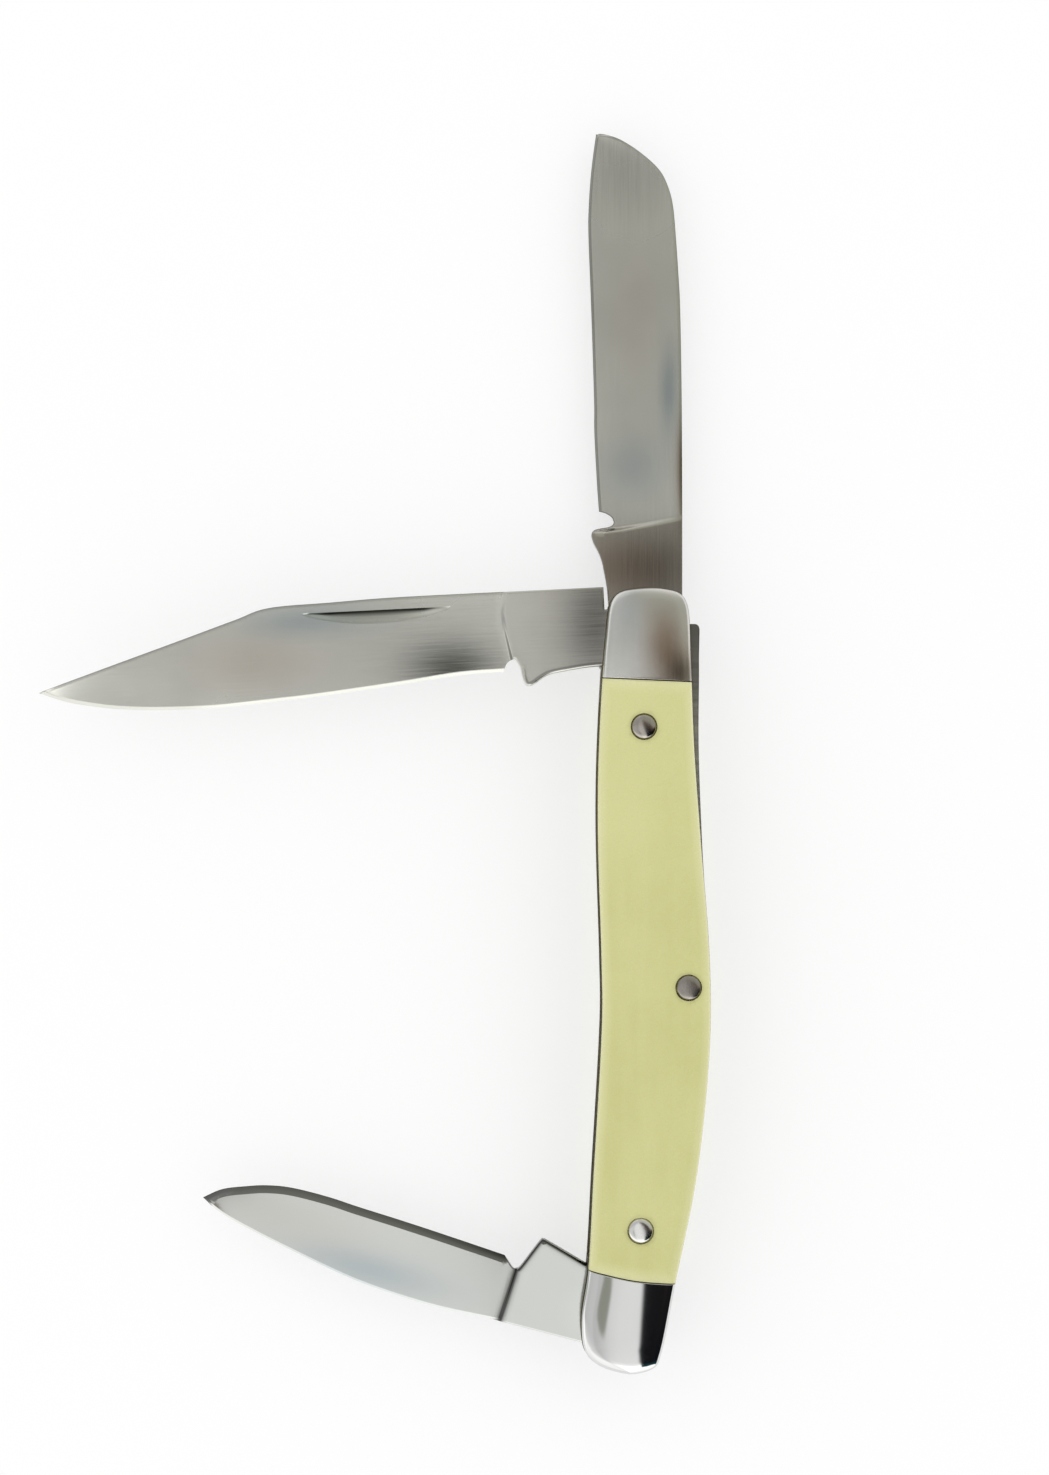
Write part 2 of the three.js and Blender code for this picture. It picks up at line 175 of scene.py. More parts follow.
def turned(points, pivot, degrees, mirrored=False):
    turn = math.radians(degrees)
    given = np.asarray(points, float)
    x, y = given[..., 0], given[..., 1] * (-1 if mirrored else 1)
    across = x * math.cos(turn) - y * math.sin(turn) + pivot[0]
    return np.stack([across, x * math.sin(turn) + y * math.cos(turn) + pivot[1]], axis=-1)


def smoothStep(values):
    t = np.clip(values, 0, 1)
    return t * t * (3 - 2 * t)


def roundDrop(distance, width, height, power=2.0):
    # How far a rounded rim lies below the face, at a distance in from the edge
    share = 1 - np.clip(distance / width, 0, 1)
    return height * (1 - (1 - share ** power) ** (1 / power))


# Relief pieces: a flat shape with a height on each side of it
def area(loop):
    x, y = np.array(loop).T
    return ((x * np.roll(y, -1) - np.roll(x, -1) * y).sum()) / 2


def triangulate(keep, cut, lines, samples):
    points, edges, faces = [], [], []
    for loop in [*keep, *cut]:
        loop = loop if area(loop) > 0 else loop[::-1]
        faces.append(list(range(len(points), len(points) + len(loop))))
        points.extend(loop)
    for line in lines:
        edges.extend((len(points) + step, len(points) + step + 1) for step in range(len(line) - 1))
        points.extend(line)
    points.extend(samples)
    found = delaunay_2d_cdt([Vector(point) for point in points], edges, faces, 0, 1e-5)
    inside = set(range(len(keep)))
    kept = []
    for corners, sources in zip(found[2], found[5]):
        if inside <= set(sources) and max(sources) < len(keep):
            kept.append(list(corners) if area([found[0][c] for c in corners]) > 0 else list(corners)[::-1])
    return np.array([point[:] for point in found[0]]), kept


def rimLoops(triangles):
    directed = {(t[a], t[b]) for t in triangles for a, b in ((0, 1), (1, 2), (2, 0))}
    following = {a: b for a, b in directed if (b, a) not in directed}
    loops = []
    while following:
        start, corner = following.popitem()
        loop = [start]
        while corner != start:
            loop.append(corner)
            corner = following.pop(corner)
        loops.append(loop)
    return loops


def meshFrom(name, points, faces, attributes=None, sharp=28):
    mesh = bpy.data.meshes.new(name)
    mesh.from_pydata([tuple(point) for point in points], [], faces)
    mesh.shade_smooth()
    mesh.set_sharp_from_angle(angle=math.radians(sharp))
    for key, values in (attributes or {}).items():
        mesh.attributes.new(key, "FLOAT", "POINT").data.foreach_set("value", np.array(values, np.float32))
    made = bpy.data.objects.new(name, mesh)
    scene.collection.objects.link(made)
    return made


def unit(vectors):
    return vectors / np.maximum(np.linalg.norm(vectors, axis=1), 1e-9)[:, None]


def shiftedLine(line, distance, closed=False):
    # The line moved to its own left, with its corners kept
    if closed:
        into, out = unit(line - np.roll(line, 1, axis=0)), unit(np.roll(line, -1, axis=0) - line)
    else:
        steps = unit(np.diff(line, axis=0))
        into, out = np.vstack([steps[:1], steps]), np.vstack([steps, steps[-1:]])
    left = np.column_stack([-(into + out)[:, 1], (into + out)[:, 0]])
    return line + left * (distance / np.maximum(1 + (into * out).sum(1), 0.4))[:, None]


def runsOf(line, wanted, closed=False):
    # The stretches of a line whose points are all wanted
    if closed and wanted.all():
        return [np.vstack([line, line[:1]])]
    if closed:
        first = int(np.argmin(wanted))
        line, wanted = np.roll(line, -first, axis=0), np.roll(wanted, -first)
    cuts = np.flatnonzero(np.diff(wanted.astype(int))) + 1
    parts = zip(np.split(line, cuts), np.split(wanted, cuts))
    return [part for part, keep in parts if keep[0] and len(part) > 1]


def gridPoints(low, high, spacing):
    rows = []
    for index, row in enumerate(np.arange(low[1], high[1], spacing * meshing["rowShare"])):
        columns = np.arange(low[0] + (index % 2) * spacing / 2, high[0], spacing)
        rows.append(np.column_stack([columns, np.full(len(columns), row)]))
    return np.vstack(rows)


def reliefPiece(name, keep, topOf, bottomOf, cut=(), lines=(), spacing=0.5, rims=(), attributes=None,
                place=None, mirrored=False, sharp=40):
    points, triangles = triangulate(keep, cut, [], [])
    loops = [points[loop] for loop in rimLoops(triangles)]
    starts = np.vstack(loops)
    ends = np.vstack([np.roll(loop, -1, axis=0) for loop in loops])

    # Rows that follow the rim, then a staggered grid that keeps clear of every row
    rows = list(lines)
    for loop in loops:
        for distance in rims:
            ring = shiftedLine(loop, distance, closed=True)
            clear = distanceTo(ring, starts, ends) > distance * meshing["rimKept"]
            rows += runsOf(ring, clear, closed=True)
    grid = gridPoints(starts.min(0), starts.max(0), spacing)
    clearance = max(rims, default=0) + spacing * meshing["clearOfRim"]
    grid = grid[distanceTo(grid, starts, ends) > clearance]
    onRows = np.vstack(rows) if rows else np.empty((0, 2))
    tree = KDTree(len(onRows))
    for index, (x, y) in enumerate(onRows):
        tree.insert((x, y, 0), index)
    tree.balance()
    if len(onRows):
        clearance = spacing * meshing["clearOfRows"]
        grid = np.array([point for point in grid if tree.find((*point, 0))[2] > clearance])

    points, triangles = triangulate(keep, cut, rows, grid)
    used = sorted({corner for triangle in triangles for corner in triangle})
    number = {old: new for new, old in enumerate(used)}
    points = points[used]
    triangles = [[number[corner] for corner in triangle] for triangle in triangles]
    rim = distanceTo(points, starts, ends)
    top = topOf(points, rim)
    bottom = bottomOf(points, rim)
    flat = place(points) if place else points
    count = len(points)
    corners = np.vstack([np.column_stack([flat, top]), np.column_stack([flat, bottom])]) * mm
    faces = [list(triangle) for triangle in triangles]
    faces += [[corner + count for corner in triangle[::-1]] for triangle in triangles]
    for loop in rimLoops(triangles):
        for a, b in zip(loop, loop[1:] + loop[:1]):
            faces.append([a, a + count, b + count, b])
    if mirrored:
        faces = [face[::-1] for face in faces]
    values = {key: np.concatenate([make(points, rim, front) for front in (True, False)])
              for key, make in (attributes or {}).items()}
    return meshFrom(name, corners, faces, values, sharp)


# Handle
handle = {
    "length": 89.0,
    "cover": 2.6,
    "liner": 0.5,
    "spring": 2.0,
    "divider": 0.4,
    "topBolster": 10.5,
    "topSlant": 0.45,
    "bottomBolster": 11.1,
    "bottomSlant": 1.6,
    "bottomSag": 0.35,
    "jointGap": 0.12,
    "faceInset": 0.1,      # covers and bolsters stop short of the liners
    "roundWidth": 1.35,
    "roundHeight": 0.82,
    "roundPower": 2.5,
    "softStart": 0.3,      # where the rounding starts to ignore the outline's corners
    "softBlend": 0.4,
    "crown": 0.26,         # bow across the handle
    "endCrown": 0.35,      # bow along each bolster, towards its end
    "topPivot": (-2.0, 37.9),
    "bottomPivot": (-3.4, -37.5),
    "topCoverPin": (-0.72, 28.73),
    "bottomCoverPin": (-1.1, -28.13),
    "springPin": (4.31, -0.72),
    "pinHead": 1.475,
    "pivotRadius": 1.2,
}
# Outline as (share of the length, side), anticlockwise from the top end
outlineStations = [
    (0.992, 3.5), (0.9994, 1.4), (1, -0.9), (0.9944, -3.4),
    (0.982, -4.45), (0.935, -5.1), (0.815, -5.8), (0.702, -6), (0.522, -5.57), (0.455, -5.5),
    (0.246, -6.5), (0.13, -7.1), (0.067, -7.85), (0.028, -7.4),
    (0.0118, -6), (0.0011, -3.3), (0, -1.5), (0.009, 0.7),
    (0.026, 1.35), (0.113, 2.9), (0.258, 5.45), (0.425, 6.87), (0.534, 6.78), (0.68, 5.8),
    (0.8, 5.05), (0.904, 4.7), (0.979, 4.25),
]
topEnd = handle["length"] / 2
bottomEnd = -topEnd
rawOutline = closedLine([(side, bottomEnd + share * handle["length"]) for share, side in outlineStations], 24)
outline = evenly(rawOutline, 0.35, closed=True)

layer = {"backLiner": handle["cover"]}
layer["sheepsfoot"] = layer["backLiner"] + handle["liner"]
layer["rearDivider"] = layer["sheepsfoot"] + handle["spring"]
layer["pen"] = layer["rearDivider"] + handle["divider"]
layer["frontDivider"] = layer["pen"] + handle["spring"]
layer["clip"] = layer["frontDivider"] + handle["divider"]
layer["frontLiner"] = layer["clip"] + handle["spring"]
layer["frontCover"] = layer["frontLiner"] + handle["liner"]
layer["top"] = layer["frontCover"] + handle["cover"]


def sideAt(y, back):
    following = np.roll(rawOutline, -1, axis=0)
    crosses = (rawOutline[:, 1] - y) * (following[:, 1] - y) <= 0
    here, there = rawOutline[crosses], following[crosses]
    share = (y - here[:, 1]) / np.where(there[:, 1] == here[:, 1], 1, there[:, 1] - here[:, 1])
    found = here[:, 0] + (there[:, 0] - here[:, 0]) * share
    return found.max() if back else found.min()


sideHeights = np.linspace(bottomEnd + 3, topEnd - 3, 400)
mouthSides = np.array([sideAt(y, False) for y in sideHeights])
backSides = np.array([sideAt(y, True) for y in sideHeights])
faceOutline = shiftedLine(outline, handle["faceInset"], closed=True)
edgeDots = evenly(faceOutline, 0.22, closed=True)
dotReach = np.linalg.norm(np.diff(edgeDots[:2], axis=0))


def softDistance(points, power=8):
    # Distance in from the handle's edge, without the creases that run inwards from its corners
    exact = distanceToLoop(points, faceOutline)
    soft = exact.copy()
    start, blend = handle["softStart"], handle["softBlend"]
    near = np.flatnonzero((exact > start) & (exact < handle["roundWidth"] + blend))
    line = math.sqrt(math.pi) * math.gamma((power - 1) / 2) / math.gamma(power / 2)
    for first in range(0, len(near), meshing["batch"]):
        some = near[first:first + meshing["batch"]]
        squares = ((points[some, None, :] - edgeDots[None]) ** 2).sum(2)
        total = (squares ** (-power / 2)).sum(1) * dotReach / line
        soft[some] = total ** (-1 / (power - 1))
    return exact + (soft - exact) * smoothStep((exact - start) / blend)


def faceDrop(points):
    # How far the outer face of covers and bolsters lies below its highest level
    distance = softDistance(points)
    left = np.interp(points[:, 1], sideHeights, mouthSides)
    right = np.interp(points[:, 1], sideHeights, backSides)
    across = (points[:, 0] - (left + right) / 2) / ((right - left) / 2)
    rolled = roundDrop(distance, handle["roundWidth"], handle["roundHeight"], handle["roundPower"])
    overTop = (points[:, 1] - topEnd + handle["topBolster"]) / handle["topBolster"]
    overBottom = (bottomEnd + handle["bottomBolster"] - points[:, 1]) / handle["bottomBolster"]
    along = np.clip(np.maximum(overTop, overBottom), 0, 1)
    return rolled + handle["crown"] * np.clip(across, -1, 1) ** 2 + handle["endCrown"] * along ** 2


farSide = handle["length"]    # well outside the handle


def topJoint(shift):
    middle = topEnd - handle["topBolster"] + shift
    slope = handle["topSlant"] / (sideAt(middle, True) - sideAt(middle, False))
    return np.array([(-farSide, middle + slope * farSide), (farSide, middle - slope * farSide)])


def bottomJoint(shift):
    middle = bottomEnd + handle["bottomBolster"] + shift
    left, right = sideAt(middle, False), sideAt(middle, True)
    start, end = middle + handle["bottomSlant"] / 2, middle - handle["bottomSlant"] / 2
    line = smoothLine([(left, start), ((left + right) / 2, middle - handle["bottomSag"]), (right, end)], 8)
    return np.vstack([[(-farSide, start)], line, [(farSide, end)]])


gap = handle["jointGap"] / 2
topBolsterRegion = np.vstack([topJoint(gap), [(farSide, farSide), (-farSide, farSide)]])
bottomBolsterRegion = np.vstack([bottomJoint(-gap), [(farSide, -farSide), (-farSide, -farSide)]])
coverRegion = np.vstack([bottomJoint(gap), topJoint(-gap)[::-1]])

roundRings = [0.008, 0.025, 0.05, 0.09, 0.14, 0.2, 0.28, 0.38, 0.5, 0.65, 0.83, 1.05, 1.3, 1.6]
# The fine rim where covers and bolsters were cut
edgeRim = {"radius": 0.06, "depth": 0.8, "shares": (0.08, 0.25, 0.5, 1.0, 1.3), "clear": 1.2,
           "edgeClear": 0.12}
# The blind hole in each bolster, over the end of a pivot pin
pivotSeat = {"radius": 1.25, "wall": 0.02, "depth": 2.0}


def roundedEdgeRows():
    # Rows of points that follow the rounded edge of the handle
    rows = []
    for distance in roundRings:
        row = shiftedLine(faceOutline, distance, closed=True)
        clear = distanceToLoop(row, faceOutline) > distance * meshing["edgeKept"]
        rows += runsOf(row, clear, closed=True)
    return rows


roundedEdge = roundedEdgeRows()


def readAll(items, key, width, kind=float):
    values = np.empty(len(items) * width, kind)
    items.foreach_get(key, values)
    return values.reshape(-1, width)


def useFaceNormals(piece, front, cuts, step=0.03):
    # Reflections follow the rule of the outer face, not its triangles
    mesh = piece.data
    flat = readAll(mesh.vertices, "co", 3)[:, :2] / mm
    toCut = np.min([distanceToLoop(flat, loop) for loop in cuts], axis=0)
    clear = toCut > edgeRim["radius"] * edgeRim["clear"]
    clear &= distanceToLoop(flat, faceOutline) > edgeRim["edgeClear"]
    count = len(flat) // 2
    clear &= (np.arange(len(flat)) < count) == front
    some = flat[clear]
    slopes = [(faceDrop(some + shift) - faceDrop(some - shift)) / (2 * step)
              for shift in ((step, 0), (0, step))]
    ruled = np.zeros((len(flat), 3))
    ruled[clear] = unit(np.column_stack([*slopes, np.full(len(some), 1 if front else -1)]))
    corners = readAll(mesh.corner_normals, "vector", 3)
    owner = readAll(mesh.loops, "vertex_index", 1, int)[:, 0]
    corners[clear[owner]] = ruled[owner[clear[owner]]]
    mesh.normals_split_custom_set([tuple(corner) for corner in corners])


def facePiece(name, region, front, holes=(), blindHole=None, attributes=None, spacing=0.4):
    inner, outer = pivotSeat["radius"], pivotSeat["radius"] + pivotSeat["wall"]
    blindLines = [ringOf(blindHole, reach) for reach in (inner, outer)] if blindHole else []
    radius = edgeRim["radius"]

    def outerFace(points, rim):
        toCut = np.min([distanceToLoop(points, loop) for loop in (region, *holes)], axis=0)
        return handle["cover"] - faceDrop(points) - roundDrop(toCut, radius, radius * edgeRim["depth"])

    def innerFace(points, rim):
        if not blindHole:
            return np.zeros(len(points))
        reach = np.linalg.norm(points - np.array(blindHole), axis=1)
        return np.where(reach < (inner + outer) / 2, pivotSeat["depth"], 0.0)

    def level(face):
        base = layer["frontCover"]
        if front:
            return lambda points, rim: base + face(points, rim)
        return lambda points, rim: handle["cover"] - face(points, rim)

    closedRings = [np.vstack([ring, ring[:1]]) for ring in blindLines]
    top, bottom = (outerFace, innerFace) if front else (innerFace, outerFace)
    piece = reliefPiece(
        name, [faceOutline, region], level(top), level(bottom), cut=holes, lines=closedRings + roundedEdge,
        spacing=spacing, rims=[radius * share for share in edgeRim["shares"]], attributes=attributes,
    )
    useFaceNormals(piece, front, [region, *holes])
    return piece


# Materials
def linear(red, green, blue):
    values = [channel / 255 for channel in (red, green, blue)]
    return tuple(v / 12.92 if v <= 0.04045 else ((v + 0.055) / 1.055) ** 2.4 for v in values) + (1.0,)


def newMaterial(name):
    material = bpy.data.materials.new(name)
    material.use_nodes = True
    tree = material.node_tree
    tree.nodes.clear()
    output = tree.nodes.new("ShaderNodeOutputMaterial")
    shader = tree.nodes.new("ShaderNodeBsdfPrincipled")
    tree.links.new(shader.outputs["BSDF"], output.inputs["Surface"])
    return material, tree, shader


def setInputs(tree, node, inputs):
    # A node's output is linked, and anything else is the socket's own value
    for key, value in inputs.items():
        if isinstance(value, bpy.types.NodeSocket):
            tree.links.new(value, node.inputs[key])
        else:
            node.inputs[key].default_value = value


def add(tree, kind, inputs=None, **settings):
    made = tree.nodes.new(kind)
    for key, value in settings.items():
        setattr(made, key, value)
    setInputs(tree, made, inputs or {})
    return made


def mathsNode(tree, operation, *values, **settings):
    made = add(tree, "ShaderNodeMath", dict(enumerate(values)), operation=operation, **settings)
    return made.outputs[0]


def attributeOn(tree, name):
    return add(tree, "ShaderNodeAttribute", attribute_name=name).outputs["Fac"]


def noiseOn(tree, vector, scale, detail=3.0, roughness=0.5):
    made = add(tree, "ShaderNodeTexNoise", {"Vector": vector, "Scale": scale, "Detail": detail,
                                            "Roughness": roughness})
    return made.outputs["Fac"]


def mapped(tree, scale=(1, 1, 1), angle=0.0):
    coordinates = add(tree, "ShaderNodeTexCoord")
    mapping = add(tree, "ShaderNodeMapping", {"Vector": coordinates.outputs["Object"]})
    mapping.vector_type = "TEXTURE"
    mapping.inputs["Rotation"].default_value = (0, 0, math.radians(angle))
    mapping.inputs["Scale"].default_value = scale
    return mapping.outputs["Vector"]


def between(tree, factor, low, high, fromLow=0.35, fromHigh=0.65, **settings):
    made = add(tree, "ShaderNodeMapRange", {"Value": factor, "From Min": fromLow, "From Max": fromHigh,
                                            "To Min": low, "To Max": high}, **settings)
    return made.outputs["Result"]


def mixColours(tree, factor, first, second, blend="MIX"):
    made = add(tree, "ShaderNodeMix", {0: factor, 6: first, 7: second}, data_type="RGBA", blend_type=blend)
    return made.outputs[2]


coverFinish = {
    "light": (210, 209, 147),
    "dark": (199, 197, 131),
    "rim": (221, 220, 172),
    "grimeAndShade": (120, 116, 70),
    "streaks": 0.35,
    "roughness": 0.26,
    "bump": 0.04,
    "subsurface": 0.1,
    "subsurfaceReach": (0.0012, 0.0010, 0.0005),
    "coat": 0.25,
    "coatRoughness": 0.12,
}


def makeCoverPlastic(finish):
    material, tree, shader = newMaterial("coverPlastic")
    position = mapped(tree)
    light = linear(*finish["light"])
    cloud = noiseOn(tree, position, 45.0, 4.0, 0.55)
    streaks = noiseOn(tree, mapped(tree, (0.25, 2.0, 1.0)), 160.0, 3.0, 0.5)
    base = mixColours(tree, between(tree, cloud, 0, 1), linear(*finish["dark"]), light)
    base = mixColours(tree, between(tree, streaks, 0.0, finish["streaks"]), base, light)
    atRim = between(tree, attributeOn(tree, "rim"), 0.75, 0.0, 0.0, 1.1)
    base = mixColours(tree, atRim, base, linear(*finish["rim"]))
    # Grime and painted shade around the pins and joints, broken up into specks
    specks = between(tree, noiseOn(tree, position, 700.0), 0.4, 1.0)
    spotted = mathsNode(tree, "MULTIPLY", attributeOn(tree, "grimeAndShade"), specks)
    base = mixColours(tree, spotted, base, linear(*finish["grimeAndShade"]))
    fine = noiseOn(tree, position, 900.0, 4.0, 0.6)
    bump = add(tree, "ShaderNodeBump", {"Height": noiseOn(tree, position, 350.0, 2.0),
                                        "Strength": finish["bump"], "Distance": 0.00004})
    setInputs(tree, shader, {
        "Base Color": base,
        "Roughness": between(tree, fine, finish["roughness"] - 0.05, finish["roughness"] + 0.08),
        "Normal": bump.outputs["Normal"],
        "Subsurface Weight": finish["subsurface"],
        "Subsurface Radius": finish["subsurfaceReach"],
        "Subsurface Scale": 1.0,
        "Coat Weight": finish["coat"],
        "Coat Roughness": finish["coatRoughness"],
    })
    return material


metals = {
    "satinSilver": {"light": (237, 237, 232), "dark": (214, 213, 207), "roughness": 0.25, "grain": 0.08,
                    "streaks": 0.1, "mottle": 0.22},
    "mirrorSilver": {"light": (224, 225, 224), "dark": (219, 220, 218), "roughness": 0.05},
    "pinSilver": {"light": (246, 246, 244), "dark": (230, 229, 226), "roughness": 0.13},
    "wornSilver": {"light": (184, 178, 170), "dark": (146, 140, 132), "roughness": 0.22, "grain": 0.15},
    # A darker copy of the pin metal for the top front pin: painted shade
    "shadedPinSilver": {"light": (184, 178, 170), "dark": (146, 140, 132), "roughness": 0.11},
    "brassPlate": {"light": (124, 115, 82), "dark": (72, 66, 46), "roughness": 0.38, "grain": 0.2},
    "springSteel": {"light": (186, 184, 177), "dark": (120, 118, 111), "roughness": 0.4, "grain": 0.5,
                    "stretch": (9.0, 0.16, 9.0), "streaks": 0.6},
    # The blade steels differ in polish, and their colours are lighter and darker copies of one steel, toned
    # to how bright each blade looks: painted light and shade
    "clipSteel": {"light": (222, 222, 214), "dark": (203, 203, 195), "roughness": 0.24, "polished": 0.15,
                  "grain": 0.1, "angle": 92.8},
    "sheepsfootSteel": {"light": (212, 212, 203), "dark": (196, 196, 187), "roughness": 0.25,
                        "polished": 0.16, "grain": 0.12},
    "penSteel": {"light": (229, 231, 227), "dark": (218, 220, 215), "roughness": 0.13, "polished": 0.11,
                 "grain": 0.05, "streaks": 0.15, "angle": -104.5},
}
# Colours for painted shade and for warm and cool painted reflections on metal
paintedLightTints = {"shade": (30, 30, 24), "warmReflection": (216, 194, 179), "coolReflection": (206, 217, 227)}


def makeMetal(name, finish):
    # Painted shade and painted reflections come from attributes on a piece's points, and ground marks what
    # isn't polished
    material, tree, shader = newMaterial(name)
    light, dark = linear(*finish["light"]), linear(*finish["dark"])
    stretch = finish.get("stretch", (0.05, 2.2, 1.0))
    lines = noiseOn(tree, mapped(tree, stretch, finish.get("angle", 0)), 320.0, 4.0, 0.6)
    cloud = noiseOn(tree, mapped(tree), 55.0, 3.0)
    base = mixColours(tree, between(tree, cloud, 0, 1), dark, light)
    if "mottle" in finish:
        specks = between(tree, noiseOn(tree, mapped(tree), 1100.0), 0, finish["mottle"])
        base = mixColours(tree, specks, base, dark)

    def byGround(polished, ground):
        # One value where the metal is polished and another where it was ground
        return between(tree, attributeOn(tree, "ground"), polished, ground, 0, 1)

    streaks = between(tree, lines, 0, finish.get("streaks", 0.25))
    rough = finish["roughness"]
    uneven = between(tree, cloud, rough * 0.85, rough * 1.15)
    grain = finish.get("grain")
    if "polished" in finish:
        streaks = mathsNode(tree, "MULTIPLY", streaks, byGround(0.25, 1))
        uneven = byGround(finish["polished"], uneven)
        grain = byGround(grain * 0.3, grain)
    base = mixColours(tree, streaks, base, dark)
    # Warm and cool painted reflections, then dark painted reflections and painted shade
    for tint in ("warmReflection", "coolReflection"):
        base = mixColours(tree, attributeOn(tree, tint), base, linear(*paintedLightTints[tint]), "MULTIPLY")
    feathered = mathsNode(tree, "MULTIPLY", attributeOn(tree, "reflectionPatch"), between(tree, lines, 0.85, 1.15),
                          use_clamp=True)
    for darkened in (feathered, attributeOn(tree, "shade")):
        base = mixColours(tree, darkened, base, linear(*paintedLightTints["shade"]))
    setInputs(tree, shader, {"Base Color": base, "Metallic": 1.0, "Roughness": uneven})
    if grain is not None:
        bump = add(tree, "ShaderNodeBump", {"Height": lines, "Strength": grain, "Distance": 0.00003})
        setInputs(tree, shader, {"Normal": bump.outputs["Normal"]})
    return material


coverPlastic = makeCoverPlastic(coverFinish)
steel = {name: makeMetal(name, finish) for name, finish in metals.items()}
print("materials made")


def dress(piece, material, body, slotName, *nodes):
    piece.data.materials.clear()
    piece.data.materials.append(material)
    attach(piece, body)
    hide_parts(*nodes)
    return piece


def reflectionPatchShare(reflectionPatches, kind, points):
    # Soft spots of painted reflection, each with a centre, a reach along x and y and a strength
    total = np.zeros(len(points))
    for key, centre, reach, amount in reflectionPatches:
        if key == kind:
            total += amount * np.exp(-(((points - np.array(centre)) / np.array(reach)) ** 2).sum(1))
    return total


# Covers and bolsters, the front and the back alike in shape
pinHoles = [handle["topCoverPin"], handle["bottomCoverPin"], handle["springPin"]]


def coverRim(points, rim, front):
    return np.minimum(distanceToLoop(points, faceOutline),
                      distanceToLoop(points, coverRegion) * 0.7)


# Darker around the pins and along the joints: partly grime, partly painted shade where the pins and joints
# would shade the cover
grimeAndShadeSetup = {"pinReach": 0.16, "pinAmount": 0.8, "jointReach": 0.07, "jointAmount": 0.6, "overall": 0.8}


def coverGrimeAndShade(points, rim, front):
    setup = grimeAndShadeSetup
    nearPins = np.min([np.linalg.norm(points - np.array(pin), axis=1) for pin in pinHoles], axis=0)
    aroundPins = np.exp(-np.clip(nearPins - handle["pinHead"], 0, None) / setup["pinReach"])
    toJoints = np.minimum(distanceToLine(points, topJoint(-gap)), distanceToLine(points, bottomJoint(gap)))
    alongJoints = np.exp(-toJoints / setup["jointReach"]) * setup["jointAmount"]
    return np.clip(aroundPins * setup["pinAmount"] + alongJoints, 0, 1) * setup["overall"]


# Spots of painted reflection on the front top bolster: kind, centre, reach along x and y, strength
bolsterReflections = [
    ("warmReflection", (1.6, 38.6), (2.0, 3.6), 0.8), ("reflectionPatch", (1.9, 37.6), (1.5, 2.4), 0.12),
    ("warmReflection", (3.2, 35.0), (2.4, 2.8), 0.7), ("reflectionPatch", (3.4, 34.8), (1.7, 2.1), 0.62),
    ("coolReflection", (-2.4, 41.5), (1.6, 3.5), 0.4),
]
holeLoops = [ringOf(pin, handle["pinHead"] + 0.025) for pin in pinHoles]
for side, isFront in (("front", True), ("back", False)):
    cover = facePiece(f"{side}CoverScale", coverRegion, isFront, holes=holeLoops,
                      attributes={"rim": coverRim, "grimeAndShade": coverGrimeAndShade})
    dress(cover, coverPlastic, "handle", "cover", f"{side}_cover")
    reflectionSpots = {kind: lambda points, rim, front, kind=kind: reflectionPatchShare(bolsterReflections, kind, points)
             for kind in ("reflectionPatch", "warmReflection", "coolReflection") if isFront}
    topBolster = facePiece(f"{side}TopCap", topBolsterRegion, isFront, blindHole=handle["topPivot"],
                           spacing=0.3, attributes=reflectionSpots)
    dress(topBolster, steel["satinSilver"], "handle", "nickel_silver", f"{side}_top_bolster")
    bottomBolster = facePiece(f"{side}BottomCap", bottomBolsterRegion, isFront,
                              blindHole=handle["bottomPivot"], spacing=0.3)
    dress(bottomBolster, steel["mirrorSilver"], "handle", "nickel_silver", f"{side}_bottom_bolster")
print("covers and bolsters made")


# Blades, drawn open with the pivot at 0, 0, the tip up, the edge on the left and the spine on the right
def distanceToBack(pivot):
    reach = handle["pivotRadius"]
    slant = math.atan2(sideAt(pivot[1] + reach, True) - sideAt(pivot[1] - reach, True), 2 * reach)
    return (sideAt(pivot[1], True) - pivot[0]) * math.cos(slant)


running = {"seatDepth": 2.3, "seat": 0.04, "smallCam": 0.2, "stepAhead": 2.9, "lift": 1.15, "liftStart": 9.0,
           "liftCurve": 1.3, "side": 0.05}


def liftAt(y):
    reach = handle["topPivot"][1] + running["stepAhead"] - running["liftStart"]
    share = np.clip((np.asarray(y, float) - running["liftStart"]) / reach, 0, None)
    return running["lift"] * share ** running["liftCurve"]


topSpringSide = distanceToBack(handle["topPivot"]) - running["seatDepth"]
bottomSpringSide = distanceToBack(handle["bottomPivot"]) - running["seatDepth"]
clipSeat = topSpringSide - running["seat"]
